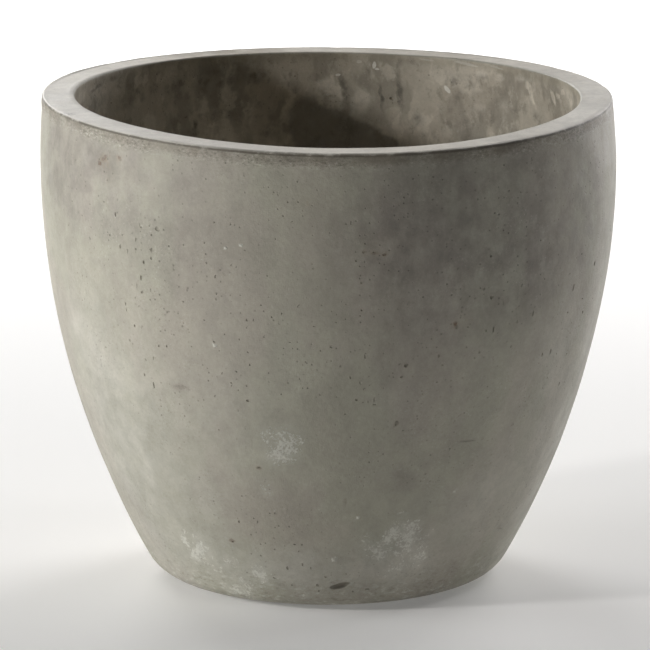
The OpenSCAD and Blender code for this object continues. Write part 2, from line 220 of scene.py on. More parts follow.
# ------------------------------------------------------------------ marks on the outside
# kind, angle in degrees, height, half width and half height in mm, turn in degrees, strength
STAINS_AND_PAINTED_SHADING = [
    ('bloom', -99.8, 161.8, 16.9, 16.6, 0, 0.62),
    ('bloom', -98.1, 167.6, 10.6, 9.7, 20, 0.4),
    ('bloom', -102.9, 172.3, 5.4, 6.8, 0, 0.5),
    ('bloom', -102.4, 149.9, 6.3, 5, 0, 0.45),
    ('bloom', -104.6, 118.9, 6.3, 10.4, 20, 0.45),
    ('bloom', -91.3, 103.3, 7, 6.3, 0, 0.3),
    ('bloom', -129.6, 124.6, 10.2, 8.5, 0, 0.22),
    ('bloom', -133.5, 58.5, 4.8, 9.7, 40, 0.55),
    ('bloom', -129.3, 46.3, 11.3, 7.3, 30, 0.9),
    ('bloom', -126.3, 53, 5.4, 9.5, 35, 0.8),
    ('bloom', -131.7, 40.9, 8.2, 5, 10, 0.9),
    ('bloom', -119.8, 61.3, 4, 3.5, 0, 0.5),
    ('bloom', -118.3, 43, 13.9, 7.1, -10, 0.4),
    ('bloom', -110.4, 33.8, 11.2, 8.3, -35, 0.8),
    ('bloom', -115.9, 22.5, 14.6, 7.4, -15, 0.6),
    ('bloom', -119, 11.8, 22, 5.4, -6, 1),
    ('bloom', -96.7, 12.6, 7.9, 3.6, 0, 0.6),
    ('bloom', -98.2, 25.2, 12.4, 8.3, 0, 0.25),
    ('bloom', -117, 57.6, 8.8, 6.9, 0, 0.25),
    ('bloom', -110.2, 56.2, 7.5, 11.4, 0, 0.25),
    ('bloom', -103.3, 50, 18, 9.2, 0, 0.22),
    ('bloom', -73.1, 73.3, 11, 7.7, 45, 1),
    ('bloom', -68.4, 68.7, 10.3, 6.8, -40, 0.9),
    ('bloom', -75.7, 54.8, 9, 6.8, 5, 1),
    ('bloom', -77.9, 62.4, 5.4, 4.5, 40, 0.5),
    ('bloom', -71, 80.5, 12.9, 7.7, 0, 0.3),
    ('bloom', -62.5, 56.4, 4.9, 9.2, 10, 0.35),
    ('bloom', -63.5, 45.7, 11.7, 7, 20, 0.3),
    ('bloom', -69.3, 40.8, 5.6, 8.2, 0, 0.45),
    ('bloom', -71.1, 94.3, 7.4, 3.2, 0, 0.4),
    ('bloom', -61.6, 71.9, 4, 4.5, 0, 0.4),
    ('bloom', -71.4, 59.7, 20.3, 22.6, 0, 0.22),
    ('bloom', -67.6, 79.4, 8.5, 8.8, 0, 0.6),
    ('bloom', -63.2, 49.6, 8.8, 9.4, 0, 0.5),
    ('bloom', -82.6, 92.7, 1.2, 1.5, 0, 1),
    ('bloom', -88.4, 52, 2.1, 2.3, 0, 0.9),
    ('bloom', -57.3, 110.6, 1.4, 1.4, 0, 0.8),
    ('bloom', -113.5, 249.9, 1.3, 1.2, 0, 0.8),
    ('bloom', -106.5, 339.6, 1.2, 1.1, 0, 0.7),
    ('rust', -122.3, 207.8, 8.3, 3.8, 0, 0.2),
    ('dark', -122.3, 207.8, 9.3, 3.8, 0, 0.5),
    ('rust', -139.2, 393.6, 6.7, 6.7, -35, 0.85),
    ('rust', -134.6, 398.2, 3.7, 3.4, 0, 0.7),
    ('rust', -137.9, 378.3, 13, 5.1, 0, 0.25),
    ('rust', -137, 389, 20.5, 18.6, 0, 0.22),
    ('rust', -62.2, 270.2, 11.9, 9, 0, 0.42),
    ('rust', -63.9, 267.4, 2.5, 3.1, 0, 0.9),
    ('rust', -82.8, 335.4, 3.5, 2.6, 0, 0.45),
    ('rust', -80.9, 334.7, 5.3, 2.6, 0, 0.55),
    ('rust', -79.1, 333.1, 3.6, 2.1, 0, 0.7),
    ('rust', -80.3, 342.7, 15.1, 9.4, 0, 0.28),
    ('rust', -94.4, 379, 7.9, 5.9, 0, 0.35),
    ('rust', -116.4, 64.8, 3.3, 2.3, 0, 0.8),
    ('rust', -105.7, 139.6, 4.5, 3, 0, 0.5),
    ('rust', -93.3, 375.7, 21, 25.4, 0, 0.14),
    ('rust', -49.1, 264.5, 6.9, 11, 0, 0.2),
    ('dark', -154.8, 389.1, 30.8, 20.4, 0, 0.45),
    ('dark', -118.3, 382.2, 17.9, 18.6, 0, 0.28),
    ('dark', -69, 246.4, 3.7, 15.5, 0, 0.4),
    ('dark', -67.2, 243.9, 2.8, 11.9, 0, 0.3),
    ('dark', -70.8, 125.2, 16.7, 12.4, 10, 0.45),
    ('dark', -73.6, 133.7, 9.1, 9.1, 0, 0.3),
    ('dark', -84.4, 139.7, 19.3, 30.2, 0, 0.18),
    ('dark', -89.4, 168.2, 14, 38.7, 0, 0.18),
    ('dark', -54.5, 327.4, 25.8, 22.7, 0, 0.16),
    ('dark', -45.4, 326.1, 19.6, 22.8, 0, 0.2),
    ('dark', -75.9, 318.7, 27, 20.8, 0, 0.14),
    ('dark', -124.1, 336.7, 19, 26.1, 0, 0.2),
    ('dark', -119.7, 320, 14.1, 13.9, 0, 0.18),
    ('dark', -79.5, 253.7, 23.1, 19.9, 0, 0.18),
    ('dark', -76.2, 234.3, 10.8, 9.2, 0, 0.22),
    ('dark', -57, 157.7, 11.5, 1, -3, 0.55),
    ('dark', -34.3, 59.8, 10.9, 1.4, -25, 0.5),
    ('dark', -25.1, 119.3, 2.3, 5, -15, 0.5),
    ('dark', -37, 67.5, 1.5, 3.7, 0, 0.35),
    ('dark', -58.6, 286, 30.7, 26.8, 0, 0.1),
    ('dark', -73.7, 373.6, 54.7, 25.3, 0, 0.12),
    ('dark', -89.3, 66.7, 17.5, 17.8, 0, 0.12),
    ('dark', -78.6, 45.3, 3.6, 5.8, 0, 0.35),
    ('dark', -86.2, 23.5, 10.5, 7.1, 20, 0.35),
    ('pale', -50.4, 83.4, 38.6, 34.1, 0, 0.38),
    ('pale', -43.3, 112.2, 30.6, 26.7, 0, 0.28),
    ('pale', -64.2, 105.3, 21.4, 12.8, 0, 0.2),
    ('pale', -97.4, 249.8, 17.6, 54.3, 0, 0.16),
    ('pale', -67.3, 276.8, 24.6, 26.6, 0, 0.14),
    ('pale', -110.6, 264.3, 28, 44.8, 0, 0.1),
    ('pale', -137.3, 121.3, 28.3, 44, 0, 0.12),
    ('pale', -94, 130.3, 17.5, 20.4, 0, 0.14),
    ('pale', -75.8, 203.3, 23.5, 18.8, 0, 0.12),
    # Broad dark and pale patches from here to the blooms are painted shade and painted light: darker at the upper left
    # and across the upper front, most to the right, where under the rim they also stand for darker concrete; paler on
    # the left below the middle, along the right side and low on the front.
    ('dark', -155.6, 373.7, 46.5, 34.6, 0, 0.8),
    ('dark', -140.8, 393.4, 47, 16.9, 0, 0.8),
    ('dark', -121.8, 395.8, 41.1, 13.4, 0, 0.35),
    ('dark', -47.3, 323, 52.4, 58.2, 0, 0.85),
    ('dark', -69.9, 316.9, 88.5, 60.8, 0, 0.5),
    ('dark', -137, 354.8, 76.9, 25.9, 0, 0.5),
    ('pale', -138.2, 181, 72.1, 61, 0, 0.45),
    ('pale', -111.5, 173.4, 51.7, 58.5, 0, 0.3),
    ('pale', -13.9, 224.8, 30, 72.3, 0, 1),
    ('pale', -18.9, 129.6, 35, 69.1, 0, 1),
    ('pale', -20.3, 46.9, 50, 52.9, 0, 0.6),
    ('pale', -89.2, 43.3, 78.7, 18.4, 0, 0.4),
    ('dark', -54.7, 391.6, 64.3, 16.8, 0, 0.35),
    ('pale', -141.8, 89.5, 56.6, 95.3, 0, 0.7),
    ('pale', -123.2, 82.3, 35.5, 49.1, 0, 0.5),
    ('dark', -27.5, 351.9, 34.1, 61.5, 0, 0.7),
    ('dark', -117.4, 322.8, 49.3, 52.2, 0, 0.35),
    ('dark', -69.3, 264.3, 56.1, 63.2, 0, 0.3),
    ('dark', -79, 349.3, 41, 46.9, 0, 0.3),
    ('dark', -154.3, 328.5, 28.3, 27.1, 0, 0.3),
    ('dark', -68, 354.9, 80.2, 51.3, 0, 0.8),
    ('dark', -59.3, 396.3, 81.4, 15.1, 0, 0.45),
    ('pale', -148.8, 149.5, 47.2, 89.2, 0, 0.7),
    ('pale', -150.6, 229.9, 35.6, 39.9, 0, 0.55),
    ('pale', -147.5, 42, 45.6, 30.5, 0, 0.3),
    ('pale', -97.9, 38.7, 66.2, 21, 0, 0.8),
    ('pale', -121.2, 37.6, 40.9, 21.6, 0, 0.5),
    ('pale', -68.8, 41.7, 46.9, 23.6, 0, 0.6),
    ('pale', -34.7, 225.3, 21.5, 49, 0, 0.45),
    ('pale', -33.5, 142.2, 22.2, 44.3, 0, 0.35),
    ('bloom', -79.7, 65.8, 8.9, 15.6, 0, 0.35),
    ('bloom', -67.2, 62.3, 19, 18.1, 0, 0.4),
    ('bloom', -72.9, 33.7, 14.6, 7.1, 0, 0.3),
    ('bloom', -105.2, 34.2, 18.1, 10.6, 0, 0.35),
    ('bloom', -124.8, 36.8, 17, 10.9, 0, 0.35),
    ('bloom', -130.9, 58.2, 16.2, 16.7, 0, 0.35),
    ('bloom', -100.1, 153.2, 8.9, 8.9, 0, 0.5),
]

# Air holes in view: angle in degrees, height, width and height in mm
PORES = [
    (-137.2, 333.2, 2.4, 2.6), (-136, 350.8, 2.4, 4.3), (-134.8, 324.8, 2.9, 3.8), (-134.2, 241.8, 2.3, 3), (-134, 269.4, 1.7, 3.4),
    (-134, 274.7, 1.8, 3.4), (-132.5, 322.1, 1.8, 4.3), (-132.4, 257.1, 2.8, 2.6), (-131.6, 213.3, 2, 4.3), (-131.4, 282.4, 1.4, 1.7),
    (-130.9, 275.2, 1.5, 1.7), (-130.9, 293.1, 1.8, 4.3), (-130.5, 227.4, 2.5, 3.4), (-130.2, 326.6, 2.2, 2.6), (-130.1, 332.7, 1.7, 4.7),
    (-129.3, 288.6, 3.6, 3.8), (-129, 206.7, 2.6, 6), (-129, 300.7, 2.8, 5.5), (-129, 346.1, 1.4, 3.4), (-128.4, 314.9, 3.2, 3.8),
    (-128.3, 230.7, 1.6, 3.8), (-128.2, 191.5, 3.2, 2.1), (-126.8, 268.2, 1.6, 1.7), (-126.6, 319.6, 1.9, 3.8), (-126.4, 241.3, 2.4, 2.6),
    (-126.3, 326.5, 3.7, 4.3), (-126.1, 341.1, 2.1, 2.1), (-126, 276, 1.5, 1.7), (-125.6, 265.5, 2, 1.7), (-124.7, 345.3, 7, 4.3),
    (-124.6, 243.3, 2.2, 2.9), (-123.7, 274.2, 1.8, 2.7), (-119.9, 263.6, 2.2, 2.6), (-118.5, 246.8, 1.5, 1.7), (-116.2, 65, 2.2, 1.7),
    (-115.5, 216, 1.7, 1.9), (-115.2, 229.5, 1.8, 1.7), (-115, 271.4, 1.8, 1.7), (-114.9, 225.6, 1.6, 2.6), (-114.5, 339, 1.8, 1.9),
    (-114.2, 172.3, 1.8, 1.7), (-114.2, 201.7, 2.1, 2.6), (-113.6, 322, 2.1, 2), (-113.5, 252.8, 2.4, 2), (-113.1, 85.2, 2.5, 3.4),
    (-112.4, 309.9, 1.8, 2.6), (-112.2, 245.2, 1.3, 1.4), (-112.1, 357.3, 1.8, 2), (-112, 224.7, 1.8, 2), (-112, 297.3, 2.3, 2.6),
    (-110.6, 261.4, 1.6, 1.9), (-110.2, 215.2, 1.6, 1.7), (-110.2, 216.3, 2, 2.2), (-109.4, 295.4, 1.3, 1.5), (-109.3, 192.2, 1.6, 2),
    (-108.7, 211.4, 1.3, 1.5), (-108.7, 321.5, 2, 2), (-108.6, 355.8, 1.8, 1.9), (-108.5, 89.8, 1.6, 2), (-108.5, 226.3, 2, 2.1),
    (-107.7, 86.7, 2.1, 3.4), (-107.5, 257.4, 1.7, 1.9), (-107.4, 319.5, 1.6, 1.9), (-107.3, 296, 1.3, 1.7), (-106.8, 202, 3.3, 3.4),
    (-106.4, 215.6, 2.1, 3.1), (-106.2, 245.9, 1.7, 1.7), (-106.1, 268.4, 1.3, 1.9), (-106.1, 275.5, 2.6, 2.6), (-105.9, 30.2, 2.6, 2.2),
    (-105.9, 335.4, 1.6, 1.7), (-105.8, 234.1, 2, 2.2), (-105.7, 139.6, 2.6, 1.7), (-105.5, 274.6, 1.7, 1.7), (-103.2, 288.5, 1.7, 1.7),
    (-102.6, 261.3, 1.7, 2), (-102.1, 229.2, 1.7, 1.9), (-101.6, 315.8, 1.7, 2), (-101.3, 42, 3.6, 4.5), (-101.1, 279.3, 2, 2),
    (-100.3, 23.4, 1.9, 2.5), (-100, 347.8, 1.5, 1.7), (-99.4, 208.9, 1.5, 1.7), (-99.1, 282.3, 1.7, 2), (-99, 65.5, 2.2, 2.2),
    (-97.4, 256.9, 1.8, 1.9), (-97.3, 59.8, 2, 2.3), (-97.1, 65.2, 1.9, 2), (-97.1, 362.7, 1.3, 1.5), (-96.9, 46.2, 2.8, 4.2),
    (-96.6, 318.3, 1.3, 1.7), (-95.7, 287.1, 1.7, 1.9), (-95.6, 223.1, 1.3, 1.7), (-94.6, 42.9, 1.8, 4.3), (-94.3, 239.4, 1.3, 1.7),
    (-92.9, 25, 3.2, 4.5), (-92.7, 322.9, 1.5, 1.7), (-92.6, 272.4, 1.5, 1.7), (-92.4, 19.4, 1.9, 3.2), (-91.5, 209.7, 1.5, 1.9),
    (-91.1, 251.1, 1.7, 2), (-90.2, 33.3, 2.2, 2.1), (-89.5, 352.9, 1.3, 1.7), (-89.1, 253.8, 2, 2.6), (-88.1, 275, 1.5, 1.9),
    (-87.4, 236.8, 1.7, 2), (-87.2, 293.5, 1.2, 1.5), (-86.1, 191.3, 1.5, 2), (-85.3, 225.6, 2.2, 3.4), (-84.7, 36.3, 1.7, 1.7),
    (-84.6, 327.4, 2.2, 2.6), (-83.9, 57.9, 1.3, 1.3), (-83.9, 204.9, 3.2, 3.1), (-83.7, 309.1, 2.8, 3.4), (-83.3, 285.1, 2.5, 2.6),
    (-83.1, 18.5, 2.2, 2.7), (-83, 335.8, 1.7, 2.1), (-82.9, 220.3, 2.2, 3.8), (-82.5, 215.3, 1.7, 2), (-82.5, 244.4, 2.5, 4.7),
    (-81.5, 201.8, 1.5, 1.7), (-81.5, 203, 1.8, 3.4), (-81.3, 219.1, 1.3, 1.4), (-81.1, 200.4, 2.7, 1.9), (-80.9, 334.3, 2, 2.6),
    (-80, 204.8, 2.2, 5.1), (-79.2, 332.6, 1.7, 1.7), (-77.6, 20.3, 4.8, 3.1), (-76.7, 340.4, 2, 2.4), (-76.1, 285, 1.7, 2), (-75.5, 235.9, 2.2, 2),
    (-75.2, 181.1, 2.2, 4.3), (-75.2, 276, 1.5, 1.9), (-74.7, 224.2, 4, 2.7), (-74.5, 318.2, 3.1, 1.7), (-74.2, 287.7, 1.5, 1.9),
    (-74.1, 234.2, 4.7, 3.9), (-74, 298.6, 1.6, 1.7), (-69.9, 273.2, 2.1, 2), (-67.2, 240.3, 2.9, 3.8), (-66.3, 232.5, 3.1, 2),
    (-64.1, 316.3, 2, 3.4), (-63.8, 268.6, 1.7, 1.7), (-63.6, 264.6, 3.3, 3.8), (-63.4, 289.8, 1.7, 1.9), (-62.5, 277.5, 1.5, 2.6),
    (-62.5, 282.4, 1.5, 2.2), (-62.2, 222.5, 1.3, 1.4), (-61.8, 280.3, 1.5, 3.8), (-61.1, 262, 2.1, 2.2), (-61, 218.8, 2.1, 1.9),
    (-60.9, 245.2, 1.7, 1.7), (-60.3, 375.7, 1.9, 2), (-58.5, 234.4, 1.8, 1.7), (-58.1, 295.9, 2.3, 3.9), (-57.6, 239.5, 2, 3.8),
    (-56.7, 323.6, 2.6, 2.9), (-56.5, 258.1, 2, 3.1), (-56, 287.1, 3.4, 4.6), (-54.8, 257.1, 2.6, 5.5), (-54.1, 195.5, 2.3, 2),
    (-52.9, 281.6, 1.5, 5.1), (-52.5, 94.4, 2.1, 2.2), (-50.8, 261.8, 1.5, 1.5), (-50.8, 307.7, 1.8, 2), (-50, 375.5, 2.2, 2.6),
    (-49.5, 239.8, 3.1, 3.6), (-49, 275.6, 2, 1.7), (-48.8, 261.5, 2.2, 3.9), (-47, 291.8, 2, 3.9), (-44.4, 266.6, 2.1, 6), (-44, 165.1, 1.9, 2.6),
    (-39.3, 225.1, 2.1, 3.9), (-36.6, 225.2, 2.8, 5.1), (-33.5, 291.3, 2.3, 1.9), (-31.9, 256.9, 2.4, 2.4), (-31.2, 278.4, 3.5, 8.5),
    (-29.4, 189.9, 3.4, 4.6), (-29.4, 216.2, 2.7, 2.4), (-29.1, 305.9, 2.4, 2.9), (-26.5, 264.1, 2.4, 2.2), (-24.7, 250.7, 3.4, 3.8),
    (-21.8, 292.3, 4.5, 5.1),
]


# Marks on the inside of the far wall
INNER_MARKS = [
    ('dark', 71.4, 413, 37.9, 4.7, 0, 0.35),
    ('dark', 54.6, 404.7, 32.8, 5.6, 0, 0.3),
    ('dark', 119.9, 407.1, 20.6, 7.5, 0, 0.3),
    ('dark', 110.8, 402.4, 19.2, 5.6, 0, 0.3),
    ('dark', 107.1, 345.3, 13.2, 5.5, 0, 0.3),
    ('dark', 113.2, 374.4, 9.8, 7.4, 0, 0.25),
    ('dark', 131.4, 365.2, 4.6, 4.5, 0, 0.3),
    ('dark', 130, 353.6, 9.1, 5.4, 0, 0.2),
    ('dark', 94, 376.6, 12.7, 5.5, 0, 0.3),
    ('dark', 52.5, 389.9, 15.5, 4.6, 0, 0.25),
    ('dark', 31.9, 377.5, 14.4, 5.5, 0, 0.4),
    ('dark', 154.9, 395.7, 31.6, 11.1, 0, 0.4),
    ('dark', 146, 383.5, 21.3, 5.5, 0, 0.25),
    # painted shadow: the core of the left rim's shadow on the far inner wall
    ('damp', 95.2, 353.6, 15.4, 24.8, 0, 1),
    ('damp', 88.9, 346.1, 21.7, 22.9, 0, 1),
    ('damp', 82.3, 339.2, 20.1, 14.6, 0, 1),
    ('damp', 77.3, 334.4, 15.7, 7.3, 0, 1),
    ('pale', 133.5, 414.8, 14.6, 4.7, 0, 0.4),
    ('pale', 140.1, 386.3, 10.8, 4.6, 0, 0.25),
    ('pale', 123.7, 374.5, 12.8, 5.5, 0, 0.25),
    ('pale', 119.7, 390.4, 6.2, 6.5, 0, 0.2),
    ('pale', 82.6, 377.8, 7.3, 11.1, 0, 0.4),
    ('pale', 84.2, 362.9, 9.1, 7.4, 0, 0.25),
    ('pale', 63.9, 376.2, 10, 7.4, 0, 0.25),
    ('pale', 43.4, 383.4, 10.1, 7.3, 0, 0.35),
    ('pale', 54.8, 372.3, 13, 9.2, 0, 0.25),
    ('dark', 33.4, 378.4, 1.7, 7.3, 0, 0.45),
    ('dark', 68.4, 360.2, 7.2, 8.2, 0, 0.5),
    ('dark', 60, 375.8, 4.3, 11, 0, 0.35),
    ('dark', 41.2, 379.2, 9.2, 4.1, 0, 0.4),
    ('dark', 53.9, 396.7, 4.4, 2.4, 0, 0.3),
    ('dark', 46.8, 392.6, 12.1, 2.8, 0, 0.3),
    ('dark', 71.5, 403.7, 4.7, 5.6, 0, 0.3),
    ('dark', 54.8, 380.6, 4.3, 3.7, 0, 0.25),
    ('dark', 32.3, 400.9, 6.4, 8.3, -19, 0.3),
    ('dark', 141.9, 390.1, 4.2, 4.1, 0, 0.5),
    ('dark', 137.8, 389.6, 3.6, 4.6, 0, 0.5),
    ('dark', 139.9, 396.3, 3, 2.8, 0, 0.45),
    ('dark', 135.6, 396.6, 3.7, 4.6, 0, 0.35),
    ('dark', 131.5, 391.8, 5.9, 7.4, 0, 0.35),
    ('dark', 110.8, 394.1, 2.9, 2.8, 0, 0.4),
    ('dark', 120.6, 366.3, 6.2, 2, 0, 0.45),
    ('dark', 106.8, 359.9, 10.3, 2.8, 0, 0.4),
    ('dark', 102.5, 346.2, 8.3, 9.2, 0, 0.4),
    ('dark', 114.2, 360, 6.9, 1.8, 0, 0.4),
    ('dark', 124.3, 383.9, 8.6, 2, 0, 0.35),
    ('dark', 128.3, 410.5, 10.2, 3.7, 0, 0.3),
    ('dark', 118, 404.6, 12.1, 3.7, 0, 0.25),
    ('pale', 51.3, 410.7, 7.9, 5.1, 0, 0.6),
    ('pale', 45.6, 407.9, 7.4, 4.2, 0, 0.5),
    ('pale', 38.2, 410.1, 10.6, 5.1, 0, 0.65),
    ('pale', 44.5, 370.1, 5.6, 8.2, 0, 0.5),
    ('pale', 81.2, 377.9, 10, 11.1, 0, 0.5),
    ('pale', 66.3, 399.5, 17.6, 6.5, 0, 0.35),
    ('pale', 62.9, 369.2, 7, 8.3, 0, 0.3),
    ('pale', 52, 379.1, 11.1, 8.3, 0, 0.35),
    ('pale', 46, 383.9, 9.7, 5.5, 0, 0.3),
    ('pale', 147.9, 399.2, 8.8, 6, 0, 0.5),
    ('pale', 157.9, 403.5, 9.9, 3.4, 0, 0.5),
    ('pale', 143.7, 388.5, 7.2, 2.8, 0, 0.35),
    ('pale', 102.4, 409.1, 9.2, 6.6, 0, 0.35),
    ('pale', 90.5, 390.4, 9, 7, 0, 0.6),
    ('pale', 87, 377.5, 3.6, 7.4, 0, 0.45),
    ('pale', 95.2, 403.6, 7.3, 5.6, 0, 0.3),
    ('pale', 131, 415.5, 14.1, 3.7, 0, 0.35),
]


# Crisp marks drawn by the shader. Inside or outside wall, kind, angle in degrees, height, half width and half height
# in mm, turn in degrees, strength
FINE = [
    ('in', 'dark', 77.3, 378.9, 2, 14.8, -7, 0.95),
    ('in', 'dark', 72.8, 383, 3.4, 17.6, -3, 0.8),
    ('in', 'dark', 86, 384.9, 3.6, 18.5, -11, 0.8),
    ('in', 'dark', 58.8, 398.3, 4.8, 6, 0, 0.55),
    ('in', 'dark', 150, 413.3, 7.7, 3.4, 0, 0.7),
    ('in', 'dark', 157.6, 409.7, 18.4, 2, -11, 0.6),
    ('in', 'dark', 126.5, 398.7, 2.9, 4.1, 0, 0.5),
    ('in', 'dark', 121.1, 396.4, 2.7, 3.5, 0, 0.55),
    ('in', 'dark', 119.4, 396.7, 2.5, 3, 0, 0.5),
    ('in', 'dark', 115.6, 393.1, 5.9, 3.7, 0, 0.6),
    ('in', 'dark', 112.8, 396.5, 7.8, 5.1, 0, 0.6),
    ('in', 'dark', 107.4, 396.5, 10.4, 6, 0, 0.75),
    ('in', 'dark', 105.2, 399.3, 3.7, 3.7, 0, 0.5),
    ('in', 'dark', 122.2, 358.3, 3.1, 5.5, 0, 0.85),
    ('in', 'dark', 122.9, 351.3, 6.9, 4.6, 0, 0.85),
    ('in', 'dark', 124.8, 365.8, 1.8, 1.5, 0, 0.6),
    ('in', 'dark', 92.2, 396, 3.8, 3.9, 0, 0.5),
    ('in', 'dark', 98.8, 399.2, 2, 2.8, 0, 0.5),
    ('in', 'pale', 35, 396.5, 2.9, 12, -28, 0.9),
    ('in', 'pale', 35.9, 404.2, 4.1, 5.1, -26, 0.75),
    ('in', 'pale', 25.7, 400.7, 3.5, 7.9, -32, 0.75),
    ('in', 'pale', 23, 403.4, 4.7, 3.5, 0, 0.6),
    ('in', 'pale', 19.9, 408.2, 5.4, 2.6, 0, 0.55),
    ('in', 'pale', 22.1, 399.5, 3.8, 2.6, 0, 0.5),
    ('in', 'pale', 14.7, 403.8, 7, 3.6, 0, 0.6),
    ('in', 'pale', 117.8, 355.3, 7.1, 2, 0, 0.5),
    ('in', 'white', 78.9, 408.9, 1.5, 3.2, 6, 0.95),
    ('in', 'white', 78.2, 405.2, 2, 1, 0, 0.85),
    ('in', 'white', 60.8, 390.6, 1.9, 3.9, -42, 0.95),
    ('in', 'white', 82.5, 411.7, 2.2, 1.4, 0, 0.6),
    ('in', 'white', 87.5, 398.8, 2, 1.2, 0, 0.7),
    # painted highlight: these three thin white lines under the back inner edge stand for light caught along it
    ('in', 'white', 55.2, 416.4, 11.9, 1.1, 6, 0.7),
    ('in', 'white', 65.9, 416.7, 6.9, 0.7, 3, 0.45),
    ('in', 'white', 46.3, 416.8, 7.3, 0.8, 6, 0.4),
    ('out', 'rust', -140.4, 390.2, 2.6, 2.2, 0, 0.95),
    ('out', 'rust', -138.9, 396, 4.7, 2, 37, 0.75),
    ('out', 'grit', -137.6, 401.4, 1.8, 1.4, 0, 0.6),
    ('out', 'rust', -134.5, 398.4, 2.7, 1.6, -35, 0.75),
    ('out', 'grit', -154.2, 418.7, 14.3, 2.1, -13, 0.5),
    ('out', 'rust', -79.1, 333.1, 2.2, 1.5, 0, 0.85),
    ('out', 'rust', -81, 334.7, 3.8, 1.4, 0, 0.55),
    ('out', 'rust', -82.8, 335.4, 1.7, 1.3, 0, 0.6),
    ('out', 'grit', -122.1, 207.9, 7.2, 2.1, 0, 0.55),
    ('out', 'grit', -75.2, 181.1, 2, 3.2, -22, 0.9),
    ('out', 'rust', -116.4, 64.8, 3.2, 1.7, 0, 0.85),
    ('out', 'rust', -105.7, 139.6, 3, 1.6, 0, 0.6),
    ('out', 'rust', -63.9, 267.4, 1.9, 2.7, 0, 0.9),
    ('out', 'grit', -105.9, 139.6, 2.3, 1.2, 0, 0.5),
    ('out', 'grit', -85.7, 109, 1.7, 3.8, 0, 0.5),
]


def stain_and_shade_mask(kind, th, z, marks, radius):
    deg = np.degrees(th)
    out = np.zeros_like(z)
    for k, a, h, hw, hh, turn, amount in marks:
        if k != kind:
            continue
        x = np.radians((deg - a + 180) % 360 - 180) * radius
        y = z - h
        near = (np.abs(x) < 3.5 * max(hw, hh)) & (np.abs(y) < 3.5 * max(hw, hh))
        if not near.any():
            continue
        t = math.radians(turn)
        u = (x[near] * math.cos(t) + y[near] * math.sin(t)) / hw
        v = (-x[near] * math.sin(t) + y[near] * math.cos(t)) / hh
        out[near] = 1 - (1 - out[near]) * (1 - amount * np.exp(-0.9 * (u * u + v * v) ** 1.2))
    return out


def more_stains():
    """Blooms, rust and dark marks of the same sizes on the sides and back, which the photograph doesn't show."""
    rng = np.random.RandomState(77)
    out = []
    for i in range(9):
        a, h = rng.uniform(-8, 188), rng.uniform(12, 95)
        n = rng.randint(3, 7)
        for j in range(n):
            out.append(("bloom", a + rng.normal() * 3.2, h + rng.normal() * 9, rng.uniform(4, 13), rng.uniform(3, 8), rng.uniform(-40, 40), rng.uniform(.3, .95)))
    for i in range(5):
        a, h = rng.uniform(-5, 185), rng.uniform(110, 240)
        for j in range(3):
            out.append(("bloom", a + rng.normal() * 2.2, h + rng.normal() * 10, rng.uniform(4, 12), rng.uniform(4, 12), rng.uniform(-20, 20), rng.uniform(.2, .6)))
    for i in range(16):
        out.append(("rust", rng.uniform(-10, 190), rng.uniform(60, 400), rng.uniform(3, 12), rng.uniform(2.5, 9), rng.uniform(-40, 40), rng.uniform(.25, .7)))
    for i in range(34):
        out.append(("dark", rng.uniform(-12, 192), rng.uniform(40, 400), rng.uniform(10, 34), rng.uniform(12, 36), 0, rng.uniform(.12, .34)))
    for i in range(20):
        out.append(("pale", rng.uniform(-12, 192), rng.uniform(40, 380), rng.uniform(14, 34), rng.uniform(16, 46), 0, rng.uniform(.12, .32)))
    return out


STAINS_AND_PAINTED_SHADING += more_stains()


def more_inner():
    """The same kinds of mark on the inner wall where the photograph doesn't reach."""
    rng = np.random.RandomState(31)
    out = []
    for i in range(70):
        a, h = rng.uniform(-180, 180), rng.uniform(70, 410)
        if 10 < a < 160 and h > 350:
            continue
        out.append((("dark", "dark", "pale")[i % 3], a, h, rng.uniform(4, 22), rng.uniform(4, 20), rng.uniform(-25, 25), rng.uniform(.25, .65)))
    return out


INNER_MARKS += more_inner()


def masks(th, s):
    """Per-point masks that the concrete's shader turns into colour."""
    r, z, nr, nz, k = profile(s)
    kinds = np.array(KINDS)[k]
    inside = np.isin(kinds, ("shoulder_in", "wall_in", "corner", "floor", "hole")).astype(float)
    rim = (kinds == "rim").astype(float)
    rim = np.maximum(rim, np.isin(kinds, ("edge",)) * smooth(H - 2.0, H - 0.3, z))
    rim = np.maximum(rim, np.isin(kinds, ("edge_in",)) * smooth(H - 0.7, H + 0.3, z))
    out_side = np.isin(kinds, ("foot", "wall", "shoulder", "edge")).astype(float)
    under = np.isin(kinds, ("under", "bevel")).astype(float)
    m = {"m_in": inside, "m_rim": rim, "m_out": out_side, "m_under": under}
    for kind in ("bloom", "rust", "dark", "pale"):
        m["m_" + kind] = stain_and_shade_mask(kind, th, z, STAINS_AND_PAINTED_SHADING, 240.0) * out_side
    for kind in ("dark", "pale", "damp"):
        m["m_in_" + kind] = stain_and_shade_mask(kind, th, z, INNER_MARKS, 222.0) * inside
    deg = np.degrees(th)
    # dark scum line under the rim, strongest at the front right
    line = smooth(392, 417, z) * (0.35 + 0.65 * np.exp(-(((deg + 58 + 180) % 360 - 180) / 28.0) ** 2))
    m["m_band"] = line * out_side
    # the rim is pale at both sides and the front left, rubbed there and with painted light standing in for light from
    # above, and is stained yellow-brown at the back
    side = np.maximum(np.exp(-(((deg - 205 + 180) % 360 - 180) / 48.0) ** 2), np.exp(-(((deg + 4 + 180) % 360 - 180) / 52.0) ** 2))
    m["m_rub_and_painted_light"] = side
    m["m_brown"] = np.maximum(np.exp(-((deg - 113) / 16.0) ** 2), 0.40 * np.exp(-((deg - 66) / 38.0) ** 2))
    m["m_h"], m["m_r"] = z, r        # the true height and radius in mm, without the waviness
    return m


